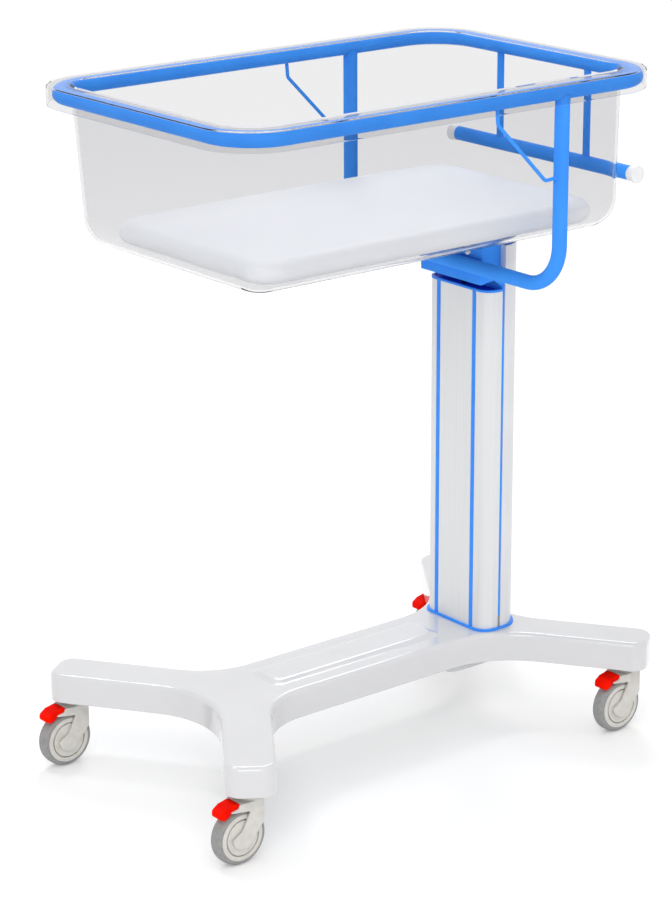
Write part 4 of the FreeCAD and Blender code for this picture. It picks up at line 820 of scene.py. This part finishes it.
# copies of CAD pieces with softened edges: name, node, body and the edge's width in mm
softEdges = [
    ("columnExtrusion", "column_front", "base", 0.5), ("rearMast", "rear_mast", "base", 0.6),
    ("columnGasket", "column_gasket", "base", 0.5), ("columnRim", "column_rim", "base", 0.6),
    ("columnStrips", "column_strips", "base", 0.3), ("carriagePlate", "lift_plate", "cradle_lift", 0.4),
    ("headBlock", "head_block", "cradle_lift", 0.8), ("tubeSaddle", "tube_saddle", "cradle_lift", 0.6),
    ("headBolts", "head_bolts", "cradle_lift", 0.5),
]


def softCopy(name, node, body, bevel, smoothAngle=35):
    # the CAD's flat facets are joined first, so that only real edges are bevelled
    mesh = nodes[node].data.copy()
    work = bmesh.new()
    work.from_mesh(mesh)
    bmesh.ops.remove_doubles(work, verts=work.verts, dist=2e-6)
    bmesh.ops.dissolve_limit(work, angle_limit=math.radians(0.6), verts=work.verts, edges=work.edges)
    work.to_mesh(mesh)
    work.free()
    piece = finishPiece(name, mesh, body, nodeSlots[node], (node,), smoothAngle)
    soft = piece.modifiers.new("edge", "BEVEL")
    soft.width = bevel * mm
    soft.segments = 3
    soft.limit_method = "ANGLE"
    soft.angle_limit = math.radians(smoothAngle)
    soft.harden_normals = True
    applyModifiers(piece)


for softEdge in softEdges:
    softCopy(*softEdge)


columnSeal = {"front": 205.0, "back": 236.0, "half": 71.0, "frontRadius": 22.0, "wall": 3.0, "top": 702.9,
              "rodX": 220.5, "rodHole": 5.2, "deep": 3.0, "bendSteps": 10}


def makeColumnSeal(c):
    # a soft seal closes the mouth of the front bar round the gas spring rod; its deep navy colour is painted
    # shade
    x0, x1 = c["front"] + c["wall"], c["back"] - c["wall"]
    half, radius, steps = c["half"] - c["wall"], c["frontRadius"] - c["wall"], c["bendSteps"]
    rim = [(x1, -half), (x1, half)] + arcPoints((x0 + radius, half - radius), radius, 90, 180, steps)
    rim += arcPoints((x0 + radius, radius - half), radius, 180, 270, steps)
    hole = []
    for x, y in rim:
        away = Vector((x - c["rodX"], y)).normalized() * c["rodHole"]
        hole.append((c["rodX"] + away.x, away.y))
    low = c["top"] - c["deep"]
    section = ((rim, low), (rim, c["top"]), (hole, c["top"]), (hole, low))
    loops = [[spot(x, y, z) for x, y in plan] for plan, z in section]
    addPiece("columnWeb", skin(loops, closed=True), "base", "blue_moulding", finish="navySealPaintedShade")


makeColumnSeal(columnSeal)


mastPlug = {"front": 242.5, "bendX": 245.0, "bendY": 31.0, "radius": 38.5, "top": 770.5, "deep": 3.0,
            "bendSteps": 12}


def makeMastPlug(m):
    # moulded plug that closes the mouth of the mast under the top plate
    half, steps = m["bendY"] + m["radius"], m["bendSteps"]
    plan = [(m["front"], -half)] + arcPoints((m["bendX"], -m["bendY"]), m["radius"], -90, 0, steps)
    plan += arcPoints((m["bendX"], m["bendY"]), m["radius"], 0, 90, steps) + [(m["front"], half)]
    rings = [[spot(x, y, z) for x, y in plan] for z in (m["top"] - m["deep"], m["top"])]
    addPiece("mastPlug", skin(rings), "base", "blue_moulding")


makeMastPlug(mastPlug)
print("column ready")


corners = {"foot_near": (-1, -1), "foot_far": (-1, 1), "head_near": (1, -1), "head_far": (1, 1)}
caster = {
    "wheel": 42.5, "trail": 23.3, "rim": 35.2, "bed": 32.8, "bedHalf": 9.5, "steps": 96,
    # outlines of half a section, where y is the way across from the wheel's middle plane
    "tread": [(0, 3.0), (0.15, 5.0), (0.75, 7.2), (1.9, 9.2), (3.3, 10.5), (4.6, 11.2)],      # drop, y
    "tyreLip": [(0.9, 11.2), (0, 10.8)],                                     # height over the rim, y
    "hubHalf": 12.0, "hubEdge": [(0, 10.6), (0.2, 11.4), (0.9, 11.9), (1.7, 12.0)],      # drop, y
    "groove": 27.4, "grooveSide": [(1.3, 0), (1.1, 0.2), (1.0, 4.0)],        # half width, depth
    "boss": [(10.0, 12.0), (9.2, 12.2), (8.8, 13.0), (5.1, 13.0)],           # radius, y
}


def tyreProfile(c):
    half = [(c["wheel"] - drop, y) for drop, y in c["tread"]]
    half += [(c["rim"] + over, y) for over, y in c["tyreLip"]]
    half += [(c["rim"], c["bedHalf"]), (c["bed"], c["bedHalf"])]
    return [(c["wheel"], 0.0)] + half + [(r, -y) for r, y in reversed(half)]


def hubProfile(c):
    side = [(c["rim"] - drop, y) for drop, y in c["hubEdge"]]
    side += [(c["groove"] + half, c["hubHalf"] - deep) for half, deep in c["grooveSide"]]
    side += [(c["groove"] - half, c["hubHalf"] - deep) for half, deep in reversed(c["grooveSide"])]
    side = [(c["bed"], c["bedHalf"]), (c["rim"], c["bedHalf"])] + side + c["boss"]
    return [(c["bed"], 0.0)] + side + [(r, -y) for r, y in reversed(side)]


# outlines seen from the side: x and z from the swivel axis at floor level, and the corner's radius
fork = {
    "legHalf": 17.7, "slotHalf": 13.1, "barrel": 17.7, "top": 103.0, "crownLow": 88.6, "chamfer": (1.0, 1.5),
    "voxel": 0.9, "smoothRounds": 4,
    "leg": [(11.4, 97.0, 0), (11.4, 61.0, 12), (-17.6, 26.6, 17), (-42.5, 26.6, 16.9), (-42.5, 44.5, 0.8),
            (-25.5, 55.0, 8), (-14.6, 76.4, 4), (-12.0, 82.2, 1.5), (-49.0, 88.0, 0.8), (-31.8, 91.2, 1.5),
            (-30.4, 95.4, 1.5), (-27.0, 97.0, 0)],
}


def prism(outline, y0, y1):
    return skin([[Vector((x * mm, y * mm, z * mm)) for x, z in outline] for y in (y0, y1)])


def forkMesh(f):
    leg = roundedOutline(f["leg"])
    low = f["crownLow"]
    front, top = f["leg"][0][:2]
    back = f["leg"][-1][0]
    inward, down = f["chamfer"]
    crown = [(front, low), (front, top), (back + inward, top), (back, top - down), (back, low)]
    barrel = [(onAxis, low), (f["barrel"], low), (f["barrel"], f["top"]), (onAxis, f["top"])]
    parts = [
        prism(leg, -f["legHalf"], -f["slotHalf"]), prism(leg, f["slotHalf"], f["legHalf"]),
        prism(crown, -f["legHalf"], f["legHalf"]), lathe(barrel, Vector((0, 0, 0)), upward, 48),
    ]
    mesh = bpy.data.meshes.new("forkRaw")
    work = bmesh.new()
    for verts, faces in parts:
        made = [work.verts.new(v) for v in verts]
        for face in faces:
            work.faces.new([made[i] for i in face])
    bmesh.ops.remove_doubles(work, verts=work.verts, dist=1e-6)
    bmesh.ops.recalc_face_normals(work, faces=work.faces)
    work.to_mesh(mesh)
    work.free()
    return remeshed(mesh, f["voxel"], f["smoothRounds"])


pedal = {
    "half": 12.8, "slices": 8, "noseStart": 0.5, "nosePull": 21.21, "nosePower": 1.6,
    "voxel": 0.8, "smoothRounds": 4, "bendSteps": 5,
    "side": [(-28.2, 94.0, 0.8), (-29.6, 97.4, 0.8), (-33.0, 97.6, 1.5), (-48.5, 94.4, 6), (-60.5, 88.6, 3),
             (-63.6, 84.8, 2.5), (-60.8, 79.6, 2.5), (-55.0, 77.8, 3), (-47.1, 81.3, 3), (-44.1, 85.2, 2),
             (-40.0, 87.6, 2), (-28.2, 89.8, 0.8)],
}


def pedalMesh(p):
    # the lever narrows over its last few millimetres, so the nose is rounded in plan as well
    outline = roundedOutline(p["side"], p["bendSteps"])
    nose = min(x for x, z in outline)
    slices = []
    for number in range(-p["slices"], p["slices"] + 1):
        share = number / p["slices"]
        y = share * p["half"]
        front = nose + p["nosePull"] * max(abs(share) - p["noseStart"], 0.0) ** p["nosePower"]
        slices.append([Vector((max(x, front) * mm, y * mm, z * mm)) for x, z in outline])
    return remeshed(meshFrom("pedalRaw", *skin(slices)), p["voxel"], p["smoothRounds"])


def moved(mesh, offset):
    copy = mesh.copy()
    copy.transform(Matrix.Translation(offset))
    return copy


def makeCasters(c):
    forkShape = forkMesh(fork)
    pedalShape = pedalMesh(pedal)
    for tag, (sx, sy) in corners.items():
        swivel = spot(base["midX"] + sx * base["swivelX"], sy * base["swivelY"], 0)
        axle = swivel + Vector((-c["trail"] * mm, 0, c["wheel"] * mm))
        finishPiece("forkMoulding_" + tag, moved(forkShape, swivel), "caster_" + tag, "caster_ivory",
                    ("fork_" + tag,), 50)
        finishPiece("pedalMoulding_" + tag, moved(pedalShape, swivel), "brake_" + tag, "pedal_red",
                    ("pedal_" + tag,), 50)
        addPiece("tyreMoulding_" + tag, lathe(tyreProfile(c), axle, crossways, c["steps"]),
                 "wheel_" + tag, "tyre_grey", ("tyre_" + tag,), 50)
        addPiece("hubMoulding_" + tag, lathe(hubProfile(c), axle, crossways, c["steps"]),
                 "wheel_" + tag, "caster_ivory", ("hub_" + tag,), 40)


makeCasters(caster)
print("casters ready")


def seenRays(tree):
    # 1 for what is seen directly, mirrored or through the clear plastic, and 0 for other light
    ray = addNode(tree, "ShaderNodeLightPath")
    direct = addNode(tree, "ShaderNodeMath", None,
                    {0: (ray, "Is Camera Ray"), 1: (ray, "Is Glossy Ray")}, operation="MAXIMUM")
    return addNode(tree, "ShaderNodeMath", None,
                   {0: (direct, "Value"), 1: (ray, "Is Transmission Ray")}, operation="MAXIMUM")


room = {"strength": 0.75}


def makeRoom(r):
    world = bpy.data.worlds.new("whiteRoom")
    scene.world = world
    world.use_nodes = True
    tree = world.node_tree
    back = tree.nodes["Background"]
    back.inputs["Color"].default_value = (1, 1, 1, 1)
    level = addNode(tree, "ShaderNodeMapRange", {"To Min": r["strength"], "To Max": 1.0},
                    {"Value": (seenRays(tree), "Value")})
    tree.links.new(level.outputs["Result"], back.inputs["Strength"])


lampTarget = (0, 0, 0.6)
# place in metres, side in metres, power in watts and whether it shows in glossy surfaces
lamps = {
    "keySoftbox": ((-2.4, -2.4, 3.4), 1.8, 36.0, True),
    "fillSoftbox": ((2.8, -2.4, 2.2), 1.8, 9.0, False),
    "backSoftbox": ((2.4, 2.6, 3.6), 1.8, 42.0, True),
    "lowFill": ((-1.9, -2.5, 0.45), 1.4, 14.0, False),
    "topSoftbox": ((-0.65, 1.4, 3.4), 0.6, 13.0, True),
}


def makeLamp(name, place, size, power, shine):
    light = bpy.data.lights.new(name, "AREA")
    light.shape = "SQUARE"
    light.size = size
    light.energy = power
    lamp = placeObject(name, light)
    lamp.location = place
    lamp.visible_glossy = shine            # the fills only soften the shade
    lamp.visible_transmission = False      # curved clear edges then show the room and not the lamps
    lamp.rotation_euler = (Vector(lampTarget) - Vector(place)).to_track_quat("-Z", "Y").to_euler()


studioFloor = {"half": 30.0, "colour": "#F4F4F4", "fadeStart": 3.5, "fadeEnd": 6.5,
               "glowNear": 0.175, "glowFar": 0.33}


def makeFloor(f):
    # a matt white floor that glows a little to the eye alone, so it runs into the white room
    half = f["half"]
    square = [(sx * half, sy * half, 0) for sx, sy in quadrants]
    mesh = meshFrom("studioFloor", square, [(0, 1, 2, 3)])
    floor = placeObject("studioFloor", mesh)
    material = bpy.data.materials.new("paintedFloorWhite")
    material.use_nodes = True
    tree = material.node_tree
    tree.nodes.remove(tree.nodes["Principled BSDF"])
    matt = addNode(tree, "ShaderNodeBsdfDiffuse", {"Color": toLinear(f["colour"])})
    place = addNode(tree, "ShaderNodeTexCoord")
    away = addNode(tree, "ShaderNodeVectorMath", None, {0: (place, "Object")}, operation="LENGTH")
    fade = addNode(tree, "ShaderNodeMapRange", {
        "From Min": f["fadeStart"], "From Max": f["fadeEnd"], "To Min": f["glowNear"], "To Max": f["glowFar"],
    }, {"Value": (away, "Value")}, interpolation_type="SMOOTHSTEP")
    lift = addNode(tree, "ShaderNodeMath", None, {0: (seenRays(tree), "Value"), 1: (fade, "Result")},
                   operation="MULTIPLY")
    glow = addNode(tree, "ShaderNodeEmission", {"Color": (1, 1, 1, 1)}, {"Strength": (lift, "Value")})
    both = addNode(tree, "ShaderNodeAddShader", None, {0: (matt, "BSDF"), 1: (glow, "Emission")})
    tree.links.new(both.outputs["Shader"], tree.nodes["Material Output"].inputs["Surface"])
    mesh.materials.append(material)


view = {"focalPixels": 2821.86, "pictureHeight": 900, "sensorMm": 36.0,
        "place": (-2550.46, -3133.82, 1791.38), "turn": 51.212, "drop": 17.991, "roll": -0.209}


def makeCamera(v):
    lens = bpy.data.cameras.new("viewLens")
    lens.sensor_fit = "VERTICAL"
    lens.sensor_height = v["sensorMm"]
    lens.lens = v["focalPixels"] / v["pictureHeight"] * v["sensorMm"]
    lens.clip_end = 100.0
    camera = placeObject("viewCamera", lens)
    aim = Matrix.Translation(spot(*v["place"]))
    for degrees, axis in ((v["turn"] - 90, "Z"), (90 - v["drop"], "X"), (v["roll"], "Z")):
        aim @= Matrix.Rotation(math.radians(degrees), 4, axis)
    camera.matrix_world = aim
    scene.camera = camera


makeRoom(room)
for name, lamp in lamps.items():
    makeLamp(name, *lamp)
makeFloor(studioFloor)
makeCamera(view)
scene.view_settings.view_transform = "Standard"
print("studio ready")
